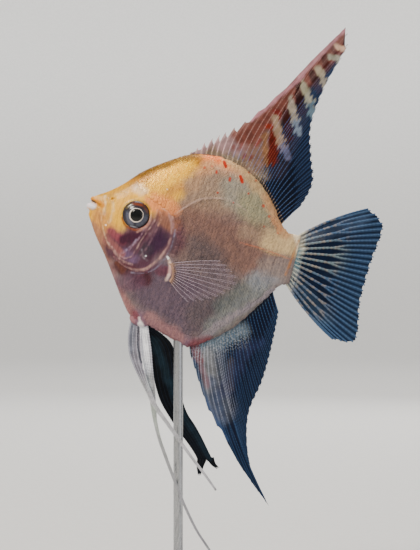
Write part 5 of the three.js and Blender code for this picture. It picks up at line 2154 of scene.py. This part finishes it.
@dataclass(frozen=True)
class Lamp:
    """A soft square light, in metres and watts."""

    name: str
    place: tuple[float, float, float]
    size: float
    power: float
    tint: str = "#ffffff"
    aim: tuple[float, float, float] = (0, 0, 0.12)  # the middle of the fish

    def build(self) -> None:
        """Builds the light."""
        data = bpy.data.lights.new(self.name, "AREA")
        data.energy = self.power
        data.size = self.size
        data.color = colour(self.tint)[:3]
        made = bpy.data.objects.new(self.name, data)
        made.location = self.place
        made.rotation_euler = (Vector(self.aim) - made.location).to_track_quat("-Z", "Y").to_euler()
        bpy.context.scene.collection.objects.link(made)


@dataclass
class Studio:
    """A pale floor that rises into a far wall all round, soft lights and the camera."""

    floor_radius: float = 2.2  # metres
    floor_bend: float = 0.9
    wall: float = 0.3
    around: int = 96  # points round the floor
    lens: float = 150.0
    sensor: float = 36.0
    distance: float = 0.764
    eye_level: float = 0.108
    sky: str = "#f2f3f5"
    sky_strength: float = 0.6
    lamps: tuple[Lamp, ...] = (
        Lamp("key light", (-0.6, -0.7, 1.0), 0.4, 20.0, "#fff4e4"),
        Lamp("top light", (0.1, 0.05, 1.1), 0.6, 8.0),
        Lamp("fill light", (0.9, -0.6, 0.35), 0.8, 2.0, "#eef3ff"),
        Lamp("back light", (0.3, 0.95, 0.6), 0.8, 5.0),
        Lamp("backdrop light", (0, 1.2, 1.6), 1.4, 36.0, aim=(0, 2.6, 0.2)),
    )

    def paper(self) -> Material:
        """Makes the floor's material, a matt paper sweep that gets paler up the wall.

        Returns:
            The material.
        """
        paint = Painter("matt paper sweep")
        height = paint.add("ShaderNodeSeparateXYZ", (paint.world,), "Z")
        rise = paint.add(RANGE, (height, 0.0, 0.5, 0.0, 1.0))
        fibres = paint.add(RANGE, (paint.noise(3.0), 0.3, 0.7, 0.0, 0.08))
        tint = paint.layers(colour("#c4c2be"), (rise, "#f1f0ed"), (fibres, "#8f8d8a"))
        return paint.finish({"Base Color": tint, "Roughness": 0.85})

    def floor(self) -> None:
        """Builds the floor, a wide dish with a smooth rim."""
        bend = np.linspace(0, math.pi / 2, 16)[1:]
        flat = np.linspace(0.01, self.floor_radius, 12)
        end = self.floor_radius + self.floor_bend
        r = np.concatenate([flat, self.floor_radius + self.floor_bend * np.sin(bend), [end]])
        z = np.concatenate([0 * flat, self.floor_bend * (1 - np.cos(bend)), [self.floor_bend + self.wall]])
        turn = np.linspace(0, 2 * math.pi, self.around, endpoint=False)
        points = [(a * math.cos(t), a * math.sin(t), b) for a, b in zip(r, z) for t in turn]
        faces = [tuple(range(self.around))]
        for start in range(0, len(points) - self.around, self.around):
            for j in range(self.around):
                a, b = start + j, start + (j + 1) % self.around
                faces.append((a + self.around, b + self.around, b, a))
        mesh = bpy.data.meshes.new("floor")
        mesh.from_pydata(points, [], faces)
        mesh.shade_smooth()
        mesh.materials.append(self.paper())
        made = bpy.data.objects.new("floor", mesh)
        bpy.context.scene.collection.objects.link(made)

    def light(self) -> None:
        """Adds the lights and the sky."""
        for lamp in self.lamps:
            lamp.build()
        world = bpy.data.worlds.new("soft sky")
        world.use_nodes = True
        sky = world.node_tree.nodes["Background"].inputs
        sky["Color"].default_value = colour(self.sky)
        sky["Strength"].default_value = self.sky_strength
        bpy.context.scene.world = world

    def camera(self) -> None:
        """Adds the camera, level with the fish and square to its left side."""
        data = bpy.data.cameras.new("camera")
        data.lens = self.lens
        data.sensor_width = self.sensor
        data.clip_start = 0.01
        made = bpy.data.objects.new("camera", data)
        made.location = (0, -self.distance, self.eye_level)
        made.rotation_euler = (math.pi / 2, 0, 0)
        bpy.context.scene.collection.objects.link(made)
        bpy.context.scene.camera = made


def main() -> None:
    """Builds the fish on its stand and the studio round it."""
    logging.basicConfig(level=logging.INFO, format="%(message)s")
    studio = Studio()
    studio.camera()
    studio.light()
    studio.floor()
    Stand().dress()
    skin = Skin().build()
    ride(skin, "flank_skin", "head", "trunk", "tail_stalk", "upper_lip", "lower_lip", "gill_cover_left",
         "gill_cover_right")
    for piece in ScaleCoat().build(skin):
        ride(piece, "flank_skin")
    wet_eye = EyeFinish().make()
    for side in Side:
        word = side.name.lower()
        eye = Eye(side).build()
        eye.data.materials.append(wet_eye)
        ride(eye, "eye", "eye_" + word)
        ride(build_fin("side_fin_" + word, [PectoralFin(side=side)], PECTORAL_FINISH), "clear_fin",
             "pectoral_fin_" + word)
    ride(build_fin("back_fin", [DORSAL_FIN], DORSAL_FINISH), "dark_fin", "dorsal_fin")
    ride(build_fin("lower_fin", [ANAL_FIN], ANAL_FINISH), "dark_fin", "anal_fin")
    ride(build_fin("tail_fin", [TAIL_FIN], TAIL_FINISH), "dark_fin", "caudal_fin")
    ride(build_fin("belly_fin_left", [PELVIC_OUTER, PELVIC_INNER], PALE_PELVIC_FINISH), "pale_fin", "pelvic_fin_left")
    ride(build_fin("belly_fin_right", [PELVIC_FAR, PELVIC_FAR_FRONT, PELVIC_FAR_REAR], DARK_PELVIC_FINISH),
         "dark_fin", "pelvic_fin_right")


if __name__ == "__main__":
    main()
